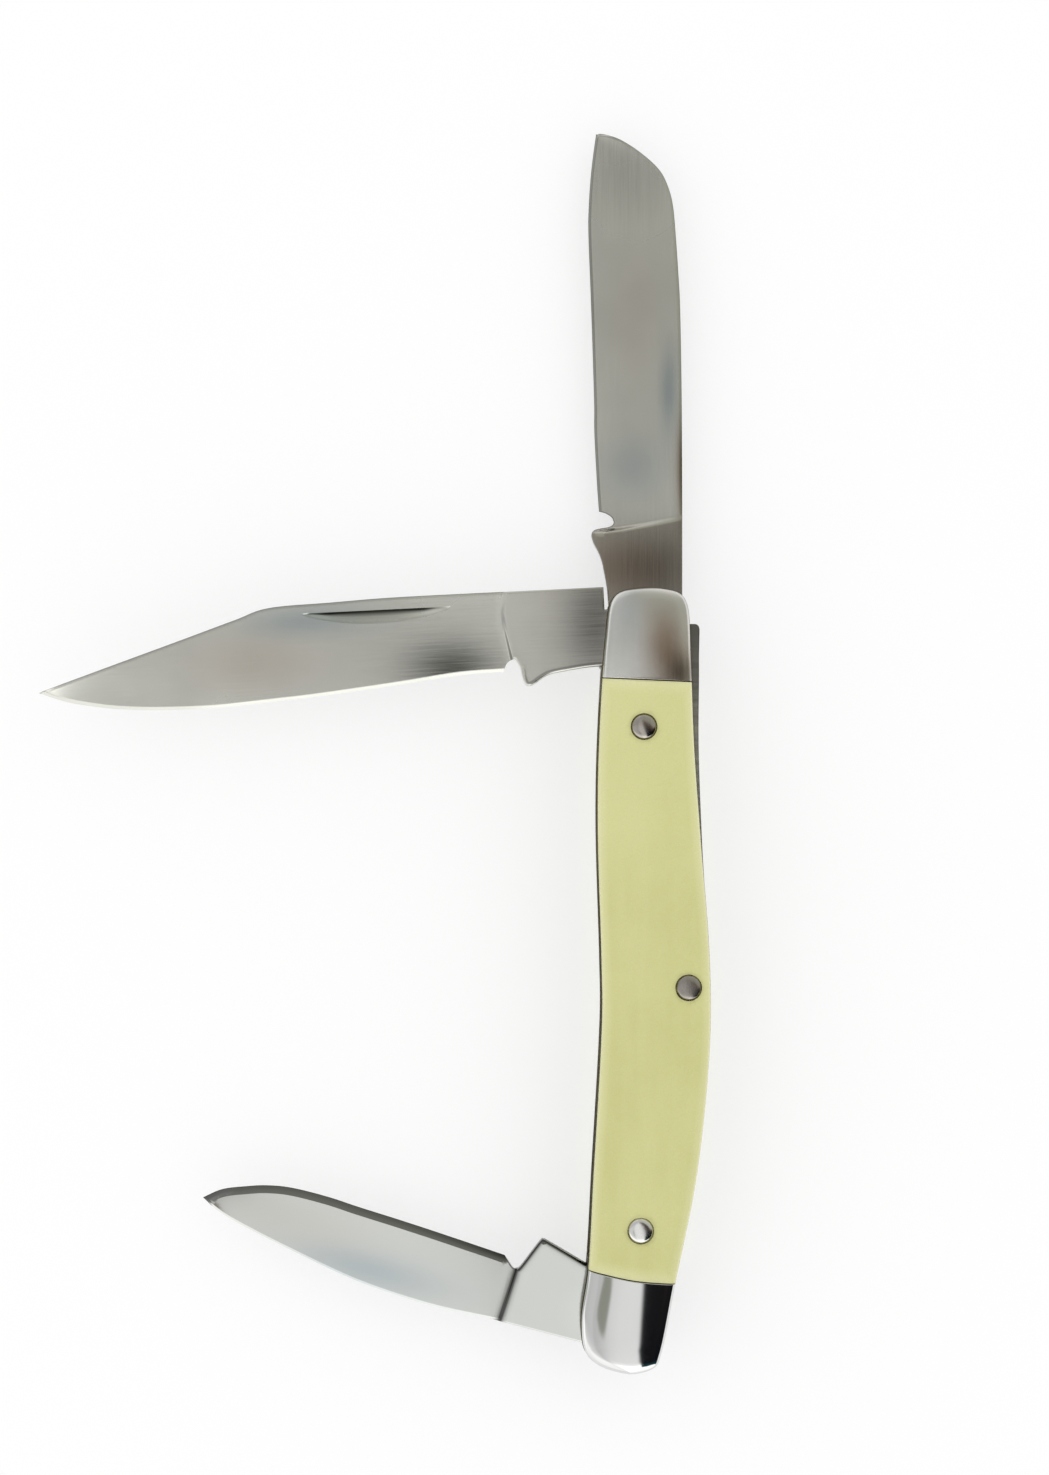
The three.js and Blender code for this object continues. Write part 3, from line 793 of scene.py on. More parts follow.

# Each blade's listed spots are painted reflections, and its shades are painted shade along walls, bevels, the
# plunge and the nail nick
bladeDefaults = {"mirrored": False, "ridge": 0.0, "ridgeWidth": 0.2, "hollow": 1.0, "spineBevel": 0.3,
                 "tangRim": 0.22, "runOn": 2.0}
clipBlade = {
    **bladeDefaults,
    "name": "clipBlade", "node": "clip_blade", "layer": "clip", "pivot": handle["topPivot"], "turn": 92.8,
    "seat": clipSeat, "cam": clipSeat + float(liftAt(handle["topPivot"][1])),
    "spine": [(6.85, 14.7), (6.86, 18.9), (6.82, 27.4), (6.6, 34.0), (6.32, 41.0), (5.15, 44.9), (3.4, 50.4),
              (1.58, 56.2), (0.17, 60.7), (-2.04, 67.72)],
    "edge": [(-2.04, 67.72), (-3.26, 64.4), (-4.1, 60.25), (-4.5, 56.7), (-4.69, 52.9), (-4.72, 47.7),
             (-4.35, 41.4), (-3.95, 35.7), (-3.06, 26.3), (-2.36, 19.8), (-2.21, 14.67)],
    "choil": [(-2.21, 14.67), (-1.53, 14.44), (-1.16, 14.17), (-0.96, 13.84), (-0.82, 13.46), (-0.95, 13.22),
              (-1.41, 12.99), (-1.99, 12.76), (-2.88, 12.62), (-3.59, 12.4), (-3.94, 12.1), (-3.94, 11.66),
              (-3.7, 11.13), (-3.35, 10.62), (-2.77, 9.45), (-2.44, 7.41), (-2.16, 4.87), (-2.12, 2.4)],
    "plunge": [(-3.0, 13.5), (-0.96, 13.7), (2.5, 14.35), (4.6, 14.55), (7.2, 14.2)],
    "plungeWidth": 0.6, "plungeStep": 0.03, "ridge": 0.022, "spineTaper": 0.3, "hollow": 0.9,
    "bevel": 0.42, "bevelStart": 0.19, "spineDrop": 0.07,
    "shades": {"edge": 0.0, "bevel": 0.0, "deepen": 0.0, "spine": 0.5, "tang": 0.0, "tangSpine": 0.5,
               "groove": 0.6, "reach": 0.07, "tangReach": 0.07, "sharp": 3.2, "until": 5.4, "under": 0.5},
    "nick": {"front": True, "from": 20.3, "to": 37.3, "line": 5.4, "deep": 1.38, "depth": 0.42},
    "reflectionPatches": [("shade", (-1.6, 20.4), (3.2, 5.2), 0.72), ("warmReflection", (0.2, 43.0), (3.6, 8.0), 0.36),
                ("coolReflection", (4.6, 37.0), (1.9, 7.0), 0.8), ("shade", (3.0, 60.0), (2.5, 8.0), 0.12),
                ("shade", (2.5, 4.0), (6.0, 3.4), 0.58), ("shade", (2.0, 26.0), (6.0, 8.0), 0.13)],
}
sheepsfootBlade = {
    **bladeDefaults,
    "name": "sheepsfootBlade", "node": "sheepsfoot_blade", "layer": "sheepsfoot", "pivot": handle["topPivot"],
    "turn": 0.0,
    "seat": clipSeat - running["smallCam"], "cam": clipSeat,
    "spine": [(5.95, 15.65), (5.89, 28.4), (5.72, 38.7), (5.5, 43.1), (5.2, 47.5), (4.86, 51.0), (4.17, 53.4),
              (3.14, 55.15), (1.07, 57.0), (-1.12, 58.4), (-2.84, 59.0), (-3.95, 59.1)],
    "edge": [(-3.95, 59.1), (-4.34, 56.3), (-4.61, 53.7), (-4.8, 50.6), (-4.83, 47.5), (-4.5, 38.7),
             (-4.18, 28.4), (-4.15, 24.8), (-3.85, 18.9), (-3.62, 15.63)],
    "choil": [(-3.62, 15.63), (-3.07, 15.5), (-2.62, 15.31), (-2.17, 14.99), (-1.99, 14.67), (-1.92, 14.35),
              (-2.12, 14.03), (-2.62, 13.81), (-3.27, 13.71), (-4.03, 13.53), (-4.42, 13.2), (-4.47, 12.69),
              (-4.22, 11.93), (-3.72, 11.03), (-3.32, 10.0), (-3.07, 8.86), (-2.69, 6.69), (-2.45, 3.6)],
    "plunge": [(-3.0, 13.4), (-1.12, 13.6), (1.72, 14.1), (5.94, 14.95), (7.0, 15.2)],
    "plungeWidth": 0.7, "plungeStep": 0.1, "spineTaper": 0.25,
    "bevel": 0.3, "bevelStart": 0.17, "spineDrop": 0.14, "tangRim": 0.12,
    "shades": {"edge": 0.75, "bevel": 0.4, "deepen": 0.0, "spine": 0.45, "tang": 0.5, "tangSpine": 0.4,
               "groove": 0.0, "reach": 0.07, "tangReach": 0.12, "sharp": 1.3, "until": 99.0, "under": 0.0},
    "nick": {"front": False, "from": 26.0, "to": 41.0, "line": 4.6, "deep": 1.3, "depth": 0.4},
    "reflectionPatches": [("warmReflection", (-1.0, 9.0), (7.0, 4.0), 0.75), ("shade", (2.5, 9.0), (5.5, 4.5), 0.48),
                ("shade", (0.0, 55.0), (5.0, 6.0), 0.24),
                ("warmReflection", (0.5, 38.0), (3.5, 9.0), 0.2), ("coolReflection", (4.4, 29.5), (1.0, 5.0), 0.9),
                ("coolReflection", (0.4, 20.7), (3.2, 3.4), 0.6), ("shade", (5.95, 20.5), (0.5, 5.5), 0.55),
                ("warmReflection", (5.95, 20.5), (0.7, 5.5), 0.9)],
}
penSeat = bottomSpringSide - running["seat"]
penBlade = {
    **bladeDefaults,
    "name": "penBlade", "node": "pen_blade", "layer": "pen", "pivot": handle["bottomPivot"], "turn": -104.5,
    "mirrored": True,
    "seat": penSeat - running["smallCam"], "cam": penSeat,
    "spine": [(5.1, 14.1), (5.35, 19.8), (5.19, 24.9), (4.79, 29.5), (4.15, 33.4), (3.27, 37.8), (2.26, 42.5),
              (1.18, 46.6), (0.0, 49.2)],
    "edge": [(0.0, 49.2), (-1.47, 47.3), (-2.49, 44.7), (-3.19, 42.4), (-3.62, 39.6), (-3.65, 35.4),
             (-3.4, 31.6), (-3.16, 27.0), (-2.84, 21.9), (-2.27, 14.1)],
    "choil": [(-2.27, 14.1), (-1.8, 13.6), (-1.1, 12.8), (-1.15, 12.4), (-1.5, 12.0), (-4.8, 10.6),
              (-5.1, 10.2), (-5.05, 9.7), (-3.7, 5.0)],
    "plunge": [(-3.0, 12.1), (-1.1, 12.4), (2.0, 12.6), (4.73, 12.8), (6.5, 12.95)],
    "plungeWidth": 0.42, "plungeStep": 0.24, "spineTaper": 0.2,
    "bevel": 0.85, "bevelStart": 0.3, "spineBevel": 0.25, "spineDrop": 0.12,
    "shades": {"edge": 0.97, "bevel": 0.58, "deepen": 0.85, "spine": 0.0, "tang": 0.98, "tangSpine": 0.0,
               "groove": 0.92, "reach": 0.12, "tangReach": 0.34, "sharp": 0.95, "until": 99.0, "under": 0.0},
    "nick": {"front": False, "from": 22.0, "to": 35.0, "line": 3.4, "deep": 1.2, "depth": 0.4},
    "reflectionPatches": [("coolReflection", (3.2, 29.0), (2.2, 9.0), 0.7), ("warmReflection", (0.0, 38.0), (3.0, 10.0), 0.15)],
}


bladeShape = {
    "thinnest": 0.03, "leastWidth": 0.3, "taperPower": 1.5, "bevelRise": 0.04, "rimDepth": 0.8,
    "innerRow": 0.45, "outerRow": 0.04, "heelStretch": 1.5, "heelLeast": 0.05,
    "rimRows": (0.07, 0.22, 0.5, 0.8, 1, 1.25, 1.6, 2.0, 2.5),
}
# The nail nick: how its curved side bows, its floor deepens and its lip rounds over
nickShape = {"bow": 0.9, "rise": 0.8, "widening": 1.6, "lip": 0.1, "lipDepth": 0.16, "lipWidening": 1.5,
             "lipStart": 0.25, "wall": 0.005, "rows": (0.3, 0.55, 0.75, 0.9), "past": 0.4}
# Where the painted shade on a blade's walls, bevels, plunge and nail nick begins and fades
bladeShade = {"tangMiddle": 2.0, "heelReach": 9.0, "bevelFade": 1.3, "overlap": 0.02, "grooveFade": 2.0,
              "underBelow": 12.3, "underAt": 0.36, "underWidth": 0.13, "nick": 0.9}


def bladeOutline(blade):
    shoulder = math.sqrt(blade["cam"] ** 2 - blade["seat"] ** 2)
    angle = math.atan2(shoulder, blade["seat"])
    turns = np.linspace(math.pi + angle, 2 * math.pi - angle, 36)
    tangEnd = np.column_stack([np.cos(turns), np.sin(turns)]) * blade["cam"]
    spine = smoothLine(blade["spine"], 10)
    edge = smoothLine(blade["edge"], 10)
    ahead = running["stepAhead"]
    corners = [[(blade["seat"], ahead), (spine[0][0], ahead)], spine, edge[1:],
               smoothLine(blade["choil"], 4)[1:], [(-blade["seat"], shoulder / 2)], tangEnd]
    return keepCorners(np.vstack(corners), 0.36)


def makeBlade(blade, material):
    middle = layer[blade["layer"]] + handle["spring"] / 2
    tang = handle["spring"] / 2 - running["side"]
    spine = smoothLine(blade["spine"], 10)
    edge = smoothLine(blade["edge"], 10)[::-1]
    plunge = np.array(blade["plunge"])
    heel, tip = blade["spine"][0][1], blade["spine"][-1][1]
    nick, shades = blade["nick"], blade["shades"]
    loop = bladeOutline(blade)
    longEdge = np.vstack([edge, edge[-1] + unit(edge[-1:] - edge[-2:-1]) * blade["runOn"]])
    longSpine = np.vstack([spine[0] - unit(spine[1:2] - spine[:1]) * blade["runOn"], spine])

    # The nail nick is deepest along its straight side
    nickMiddle, nickHalf = (nick["from"] + nick["to"]) / 2, (nick["to"] - nick["from"]) / 2
    nickY = np.linspace(nick["from"], nick["to"], 60)
    bow = np.clip(1 - ((nickY - nickMiddle) / nickHalf) ** 2, 0, 1) ** nickShape["bow"]
    curvedSide = np.column_stack([nick["line"] - nick["deep"] * bow, nickY])
    straightSide = np.column_stack([np.full(60, nick["line"]), nickY])
    inTheNick = [curvedSide + (straightSide - curvedSide) * share for share in nickShape["rows"]]
    lip = nickShape["lip"]
    wallTop = straightSide[1:-1] + (lip, 0)

    def nickShare(points):
        x, y = points.T
        curved = np.interp(y, nickY, curvedSide[:, 0])
        width = np.maximum(nick["line"] - curved, 1e-6)
        long = (y > nick["from"]) & (y < nick["to"])
        slope = np.clip((x - curved) / width, 0, 1)
        wide = width / nick["deep"]
        deep = slope ** nickShape["rise"] * np.clip(wide * nickShape["widening"], 0, 1)
        onLip = np.clip(1 - (x - nick["line"]) / lip, 0, 1) * nickShape["lipDepth"]
        onLip = onLip * np.clip(wide * nickShape["lipWidening"] - nickShape["lipStart"], 0, 1)
        inFloor = long & (x < nick["line"] + nickShape["wall"])
        return np.where(inFloor, deep, np.where(long, onLip, 0)) * (x > curved)

    def pastPlunge(points):
        return (points[:, 1] - np.interp(points[:, 0], plunge[:, 0], plunge[:, 1])) / blade["plungeWidth"]

    def groundShare(points):
        return smoothStep(pastPlunge(points) + 0.5)

    def halfAt(points, rim):
        x, y = points.T
        spineSide = np.interp(y, spine[:, 1], spine[:, 0])
        edgeSide = np.interp(y, edge[:, 1], edge[:, 0])
        share = np.clip((spineSide - x) / np.maximum(spineSide - edgeSide, bladeShape["leastWidth"]), 0, 1)
        along = np.clip((y - heel) / (tip - heel), 0, 1)
        atSpine = (tang - blade["plungeStep"]) * (1 - blade["spineTaper"] * along ** bladeShape["taperPower"])
        ground = atSpine + (blade["bevelStart"] - atSpine) * share ** blade["hollow"]
        weight = groundShare(points)
        half = tang + (ground - tang) * weight
        pastStep = (pastPlunge(points) - 0.5) * blade["plungeWidth"] / blade["ridgeWidth"]
        half = half + blade["ridge"] * np.exp(-pastStep ** 2)
        toEdge = distanceToLine(points, longEdge)
        rise = blade["bevelStart"] + bladeShape["bevelRise"]
        bevel = bladeShape["thinnest"] + rise * toEdge / blade["bevel"]
        half = np.where((weight > 0.5) & (toEdge < blade["bevel"]), np.minimum(half, bevel), half)
        toSpine = distanceToLine(points, longSpine)
        half = half - weight * blade["spineDrop"] * np.clip(1 - toSpine / blade["spineBevel"], 0, 1)
        rounded = roundDrop(rim, blade["tangRim"], blade["tangRim"] * bladeShape["rimDepth"])
        return np.maximum(half - (1 - weight) * rounded, bladeShape["thinnest"])

    def top(points, rim):
        return middle + halfAt(points, rim) - (nick["depth"] * nickShare(points) if nick["front"] else 0)

    def bottom(points, rim):
        return middle - halfAt(points, rim) + (0 if nick["front"] else nick["depth"] * nickShare(points))

    def onBevel(points, toEdge):
        return (groundShare(points) > 0.5) & (toEdge < blade["bevel"] + bladeShade["overlap"])

    def reflectionPatch(kind, points):
        bevelled = onBevel(points, distanceToLine(points, longEdge))
        return np.where(bevelled, 0, reflectionPatchShare(blade["reflectionPatches"], kind, points))

    # Painted shade and painted reflections: dark walls and rims, a dark bevel, the dark plunge groove, a dark
    # band under the tang and the dark floor of the nail nick
    def shadeAt(points, rim, front):
        x, y = points.T
        given = bladeShade
        toEdge, toSpine = distanceToLine(points, longEdge), distanceToLine(points, longSpine)
        ground, spineHalf = groundShare(points) > 0.5, x > given["tangMiddle"]
        side = np.where(toEdge < toSpine, shades["edge"], shades["spine"])
        tangSide = np.where(spineHalf, shades["tangSpine"], shades["tang"])
        reach = np.where(ground | spineHalf, shades["reach"], shades["tangReach"])
        wall = np.where(ground, side, tangSide) * np.exp(-(rim / reach) ** 2)
        nearHeel = np.exp(-np.clip(y - heel, 0, None) / given["heelReach"])
        deepened = (1 - shades["bevel"]) * shades["deepen"] * (0.5 * nearHeel + 0.5)
        fade = np.clip(given["bevelFade"] - toEdge / blade["bevel"], 0, 1)
        bevelled = (shades["bevel"] + deepened * fade) * onBevel(points, toEdge)
        groove = shades["groove"] * np.exp(-(pastPlunge(points) * shades["sharp"]) ** 2)
        groove = groove * smoothStep((shades["until"] - x) / given["grooveFade"])
        below = (x < 0) & (y < given["underBelow"])
        under = shades["under"] * below * np.exp(-((rim - given["underAt"]) / given["underWidth"]) ** 2)
        deep = given["nick"] * np.clip(nickShare(points) * 3 - 1.8, 0, 1) * (nick["front"] == front)
        return np.clip(np.max([wall, bevelled, groove, under, deep], axis=0), 0, 1)

    # Rows of points along both sides of each bevel and across the plunge
    past = nickShape["past"]
    pastEnds = np.array([(nick["line"], nickY[0] - past), *straightSide, (nick["line"], nickY[-1] + past)])
    rows = [curvedSide, *(row[4:-4] for row in inTheNick), straightSide, wallTop, pastEnds + (lip + 0.07, 0),
            curvedSide - (0.08, 0)]
    alongSides = [(evenly(longSpine, 0.35), blade["spineBevel"]),
                  (evenly(longEdge, 0.3)[::-1], blade["bevel"])]
    for line, width in alongSides:
        for distance in (width * bladeShape["innerRow"], width, width + bladeShape["outerRow"]):
            row = shiftedLine(line, distance)
            atHeel = (row[:, 1] < heel + bladeShape["heelStretch"]) & isInside(row, loop)
            least = np.where(atHeel, bladeShape["heelLeast"], distance * meshing["bevelKept"])
            rows += runsOf(row, distanceToLoop(row, loop) > least)
    dense = evenly(plunge, 0.3)
    rows += [dense + (0, step) for step in np.linspace(-0.75, 0.9, 12) * blade["plungeWidth"]]
    reflectionTints = {key: lambda points, rim, front, kind=kind: reflectionPatch(kind, points)
             for key, kind in (("reflectionPatch", "shade"), ("warmReflection", "warmReflection"), ("coolReflection", "coolReflection"))}
    made = reliefPiece(
        blade["name"], [loop], top, bottom, cut=[ringOf((0, 0), handle["pivotRadius"] + 0.06)], lines=rows,
        spacing=0.36, rims=[blade["tangRim"] * share for share in bladeShape["rimRows"]],
        attributes={"ground": lambda points, rim, front: groundShare(points), "shade": shadeAt, **reflectionTints},
        place=lambda points: turned(points, blade["pivot"], blade["turn"], blade["mirrored"]),
        mirrored=blade["mirrored"],
    )
    return dress(made, material, blade["node"], "blade_steel", blade["node"])


for blade in (clipBlade, sheepsfootBlade, penBlade):
    makeBlade(blade, steel[blade["name"].replace("Blade", "Steel")])
    print(blade["name"], "made")


# Springs, each in its own layer and ending in a block round the far pivot pin
springSetup = {"pinDepth": 4.45, "bulge": 6.0, "tailDepth": 2.6, "tailBlock": 13.0, "kickRoom": 1.0,
               "kickClearance": 0.25, "rim": 0.1, "shade": 0.35, "shadeReach": 0.09, "clear": 0.01}


def springRegion(blade, openAngle, kickPoint, closedAngle, endGap=0.1):
    mirrored = blade["mirrored"]
    up = -1 if mirrored else 1
    setup = springSetup
    side = bottomSpringSide if mirrored else topSpringSide
    end = running["stepAhead"] - endGap
    pinY = handle["springPin"][1]
    kick = turned(kickPoint, blade["pivot"], closedAngle, mirrored)
    kickSide = kick[0] + setup["kickClearance"]
    bulgeSide = sideAt(pinY, True) - setup["pinDepth"]
    block = up * (setup["tailBlock"] - topEnd)
    tail = pinY - up * 3 * setup["bulge"]
    room = up * setup["kickRoom"]
    near = [turned(corner, blade["pivot"], openAngle, mirrored)
            for corner in ((side, end), (side, setup["kickRoom"] - blade["cam"]))]
    outside = turned((farSide, end), blade["pivot"], openAngle, mirrored)
    return np.array([
        *near, (kickSide, kick[1] + room), (kickSide, kick[1] - room),
        (bulgeSide, pinY + up * setup["bulge"] / 2), (bulgeSide, pinY - up * setup["bulge"] / 2),
        (sideAt(tail, True) - setup["tailDepth"], tail), (sideAt(block, True) - setup["tailDepth"], block),
        (-farSide, block), (-farSide, -up * farSide), (farSide, -up * farSide), outside,
    ])


def springShade(points, rim, front):
    return springSetup["shade"] * np.exp(-(rim / springSetup["shadeReach"]) ** 2)


def springPiece(name, level, keep, holes, node, place=None):
    clear, rimSize = springSetup["clear"], springSetup["rim"]
    bottom, top = layer[level] + clear, layer[level] + handle["spring"] - clear

    def topFace(points, rim):
        return top - roundDrop(rim, rimSize, rimSize)

    def bottomFace(points, rim):
        return bottom + roundDrop(rim, rimSize, rimSize)

    made = reliefPiece(name, keep, topFace, bottomFace, cut=holes, spacing=0.9,
                       rims=[rimSize * share for share in edgeRim["shares"]],
                       attributes={"shade": springShade}, place=place)
    return dress(made, steel["springSteel"], "handle", "spring_steel", node)


def raised(points):
    return points + np.column_stack([liftAt(points[:, 1]), np.zeros(len(points))])


# The clip blade at rest holds its spring up, so the spring's arm is made raised. In the real knife the arm
# presses down flat as the blade opens or shuts, but this arm keeps its raised shape
raisedSpring = {"split": 6.0, "endGap": 0.4, "corner": 0.55, "lean": (0.954, 0.3), "anchor": (5.5, 6.0),
                "press": 0.11}
clipRegion = keepCorners(springRegion(clipBlade, 0, (-4.0, 11.85), 179, raisedSpring["endGap"]), 0.6)
sheepsfootRegion = springRegion(sheepsfootBlade, 0, (-4.5, 12.7), 177)
penRegion = springRegion(penBlade, -9, (-5.1, 10.2), -179.5)
springPinHole = ringOf(handle["springPin"], 1.15)
topPivotHole = ringOf(handle["topPivot"], 1.25)
bottomPivotHole = ringOf(handle["bottomPivot"], 1.25)


def halfPlane(y, above):
    far = y + (farSide if above else -farSide)
    return np.array([(-farSide, y), (farSide, y), (farSide, far), (-farSide, far)])


def outerCorner(setup):
    # What rounding takes away at the free end of the raised spring
    y = handle["topPivot"][1] + running["stepAhead"] - setup["endGap"]
    x, radius = sideAt(y, True), setup["corner"]
    turns = np.linspace(math.pi / 2, 0, 10)
    arc = np.column_stack([np.cos(turns), np.sin(turns)]) * radius + (x - radius, y - radius)
    return np.vstack([arc, [(x + 1, y - radius), (x + 1, y + 1), (x - radius, y + 1)]])


springPiece("clipSpringTail", "clip", [outline, clipRegion, halfPlane(raisedSpring["split"], False)],
            [springPinHole, bottomPivotHole], "clip_spring")
clipArm = springPiece("clipSpringArm", "clip", [outline, clipRegion, halfPlane(raisedSpring["split"], True)],
                      [outerCorner(raisedSpring)], "clip_spring", place=raised)
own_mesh(clipArm)
springPiece("sheepsfootSpring", "sheepsfoot", [outline, sheepsfootRegion], [springPinHole, bottomPivotHole],
            "sheepsfoot_spring")
springPiece("penSpring", "pen", [outline, penRegion], [springPinHole, topPivotHole], "pen_spring")
print("springs made")


# Liners and dividers: one tree fills the outline and gives it a thickness
def newTree(name, inputs):
    tree = bpy.data.node_groups.new(name, "GeometryNodeTree")
    tree.interface.new_socket("Geometry", in_out="INPUT", socket_type="NodeSocketGeometry")
    for label, kind in inputs:
        tree.interface.new_socket(label, in_out="INPUT", socket_type=kind)
    tree.interface.new_socket("Geometry", in_out="OUTPUT", socket_type="NodeSocketGeometry")
    return tree, add(tree, "NodeGroupInput"), add(tree, "NodeGroupOutput")


def runTree(name, start, tree, values):
    modifier = start.modifiers.new("shape", "NODES")
    modifier.node_group = tree
    for item in tree.interface.items_tree:
        if item.item_type == "SOCKET" and item.in_out == "INPUT" and item.name in values:
            modifier[item.identifier] = values[item.name]
    bpy.context.view_layer.update()
    evaluated = start.evaluated_get(bpy.context.evaluated_depsgraph_get())
    mesh = bpy.data.meshes.new_from_object(evaluated)
    mesh.name = name
    start.modifiers.clear()
    bpy.data.objects.remove(start)
    made = bpy.data.objects.new(name, mesh)
    scene.collection.objects.link(made)
    return made


def makePlateTree():
    tree, given, output = newTree("plate", [("Thickness", "NodeSocketFloat"), ("Level", "NodeSocketFloat"),
                                            ("Material", "NodeSocketMaterial")])
    filled = add(tree, "GeometryNodeFillCurve", {"Curve": given.outputs["Geometry"]})
    raisedUp = add(tree, "GeometryNodeExtrudeMesh", {"Mesh": filled.outputs["Mesh"],
                                                     "Offset Scale": given.outputs["Thickness"],
                                                     "Individual": False})
    flipped = add(tree, "GeometryNodeFlipFaces", {"Mesh": filled.outputs["Mesh"]})
    joined = add(tree, "GeometryNodeJoinGeometry")
    tree.links.new(raisedUp.outputs["Mesh"], joined.inputs[0])
    tree.links.new(flipped.outputs["Mesh"], joined.inputs[0])
    merged = add(tree, "GeometryNodeMergeByDistance", {"Geometry": joined.outputs[0], "Distance": 1e-7})
    offset = add(tree, "ShaderNodeCombineXYZ", {"Z": given.outputs["Level"]})
    moved = add(tree, "GeometryNodeSetPosition", {"Geometry": merged.outputs[0], "Offset": offset.outputs[0]})
    realized = add(tree, "GeometryNodeRealizeInstances", {"Geometry": moved.outputs[0]})
    painted = add(tree, "GeometryNodeSetMaterial", {"Geometry": realized.outputs[0],
                                                    "Material": given.outputs["Material"]})
    tree.links.new(painted.outputs[0], output.inputs[0])
    return tree


plateTree = makePlateTree()


def makePlate(name, level, thickness, node):
    data = bpy.data.curves.new(name, "CURVE")
    data.dimensions = "2D"
    data.fill_mode = "NONE"
    spline = data.splines.new("POLY")
    spline.points.add(len(outline) - 1)
    for point, (x, y) in zip(spline.points, outline):
        point.co = (x * mm, y * mm, 0, 1)
    spline.use_cyclic_u = True
    start = bpy.data.objects.new(name, data)
    scene.collection.objects.link(start)
    made = runTree(name, start, plateTree, {"Thickness": thickness * mm, "Level": level * mm,
                                            "Material": steel["brassPlate"]})
    made.data.set_sharp_from_angle(angle=math.radians(40))
    return dress(made, steel["brassPlate"], "handle", "brass", node)


plates = [("backLiner", "liner", "back_liner"), ("rearDivider", "divider", "rear_divider"),
          ("frontDivider", "divider", "front_divider"), ("frontLiner", "liner", "front_liner")]
for plateLayer, thickness, node in plates:
    makePlate(f"{plateLayer}Plate", layer[plateLayer], handle[thickness], node)
print("liners and dividers made")


# Pins: one tree sets a domed rivet on each point
def makeRivetTree():
    tree, given, output = newTree("rivets", [
        ("Radius", "NodeSocketFloat"), ("Length", "NodeSocketFloat"), ("Dome", "NodeSocketFloat"),
        ("Rim", "NodeSocketFloat"), ("Ragged", "NodeSocketFloat"), ("Seed", "NodeSocketFloat"),
        ("Material", "NodeSocketMaterial")])
    drum = add(tree, "GeometryNodeMeshCylinder", {"Vertices": 56, "Side Segments": 1, "Fill Segments": 12,
                                                  "Radius": given.outputs["Radius"],
                                                  "Depth": given.outputs["Length"]})
    where = add(tree, "GeometryNodeInputPosition")
    parts = add(tree, "ShaderNodeSeparateXYZ", {"Vector": where.outputs[0]})
    maths = partial(mathsNode, tree)
    flat = add(tree, "ShaderNodeCombineXYZ", {"X": parts.outputs["X"], "Y": parts.outputs["Y"]})
    reach = add(tree, "ShaderNodeVectorMath", {0: flat.outputs[0]}, operation="LENGTH").outputs["Value"]
    share = maths("DIVIDE", reach, given.outputs["Radius"])
    crown = maths("MULTIPLY", maths("SUBTRACT", 1.0, maths("POWER", share, 2.0)), given.outputs["Dome"])
    rolled = maths("MULTIPLY", maths("POWER", share, 8.0), given.outputs["Rim"])
    up = maths("GREATER_THAN", parts.outputs["Z"], 0.0)
    rise = maths("MULTIPLY", maths("SUBTRACT", crown, rolled), up)
    uneven = add(tree, "ShaderNodeTexNoise", {"Vector": where.outputs[0], "Scale": 1500.0, "Detail": 2.0,
                                              "W": given.outputs["Seed"]}, noise_dimensions="4D")
    amount = maths("MULTIPLY", maths("SUBTRACT", uneven.outputs["Fac"], 0.5), given.outputs["Ragged"])
    outward = add(tree, "ShaderNodeVectorMath", {0: flat.outputs[0]}, operation="NORMALIZE").outputs[0]
    spread = add(tree, "ShaderNodeVectorMath", {0: outward}, operation="SCALE")
    tree.links.new(maths("MULTIPLY", amount, maths("POWER", share, 6.0)), spread.inputs["Scale"])
    lifted = add(tree, "ShaderNodeCombineXYZ", {"Z": rise})
    total = add(tree, "ShaderNodeVectorMath", {0: lifted.outputs[0], 1: spread.outputs[0]}, operation="ADD")
    shaped = add(tree, "GeometryNodeSetPosition", {"Geometry": drum.outputs["Mesh"],
                                                   "Offset": total.outputs[0]})
    facing = add(tree, "GeometryNodeInputNamedAttribute", data_type="FLOAT_VECTOR")
    facing.inputs["Name"].default_value = "turn"
    toRotation = add(tree, "FunctionNodeEulerToRotation", {0: facing.outputs[0]})
    placed = add(tree, "GeometryNodeInstanceOnPoints", {"Points": given.outputs["Geometry"],
                                                        "Instance": shaped.outputs[0],
                                                        "Rotation": toRotation.outputs[0]})
    realized = add(tree, "GeometryNodeRealizeInstances", {"Geometry": placed.outputs[0]})
    painted = add(tree, "GeometryNodeSetMaterial", {"Geometry": realized.outputs[0],
                                                    "Material": given.outputs["Material"]})
    tree.links.new(painted.outputs[0], output.inputs[0])
    return tree


rivetTree = makeRivetTree()


def makeRivets(name, places, radius, low, high, nodes, dome=0.08, rim=0.22, ragged=0.0, seed=1.0,
               finish="pinSilver"):
    # places holds (centre, front): a front rivet shows its dome upwards
    start = meshFrom(f"{name}Points", [(x * mm, y * mm, (low + high) / 2 * mm) for (x, y), _ in places], [])
    turn = start.data.attributes.new("turn", "FLOAT_VECTOR", "POINT")
    for index, (_, front) in enumerate(places):
        turn.data[index].vector = (0 if front else math.pi, 0, 0)
    made = runTree(name, start, rivetTree, {
        "Radius": radius * mm, "Length": (high - low) * mm, "Dome": dome * mm, "Rim": rim * mm,
        "Ragged": ragged * mm, "Seed": seed, "Material": steel[finish]})
    made.data.shade_smooth()
    made.data.set_sharp_from_angle(angle=math.radians(50))
    return dress(made, steel[finish], "handle", "nickel_silver", *nodes)


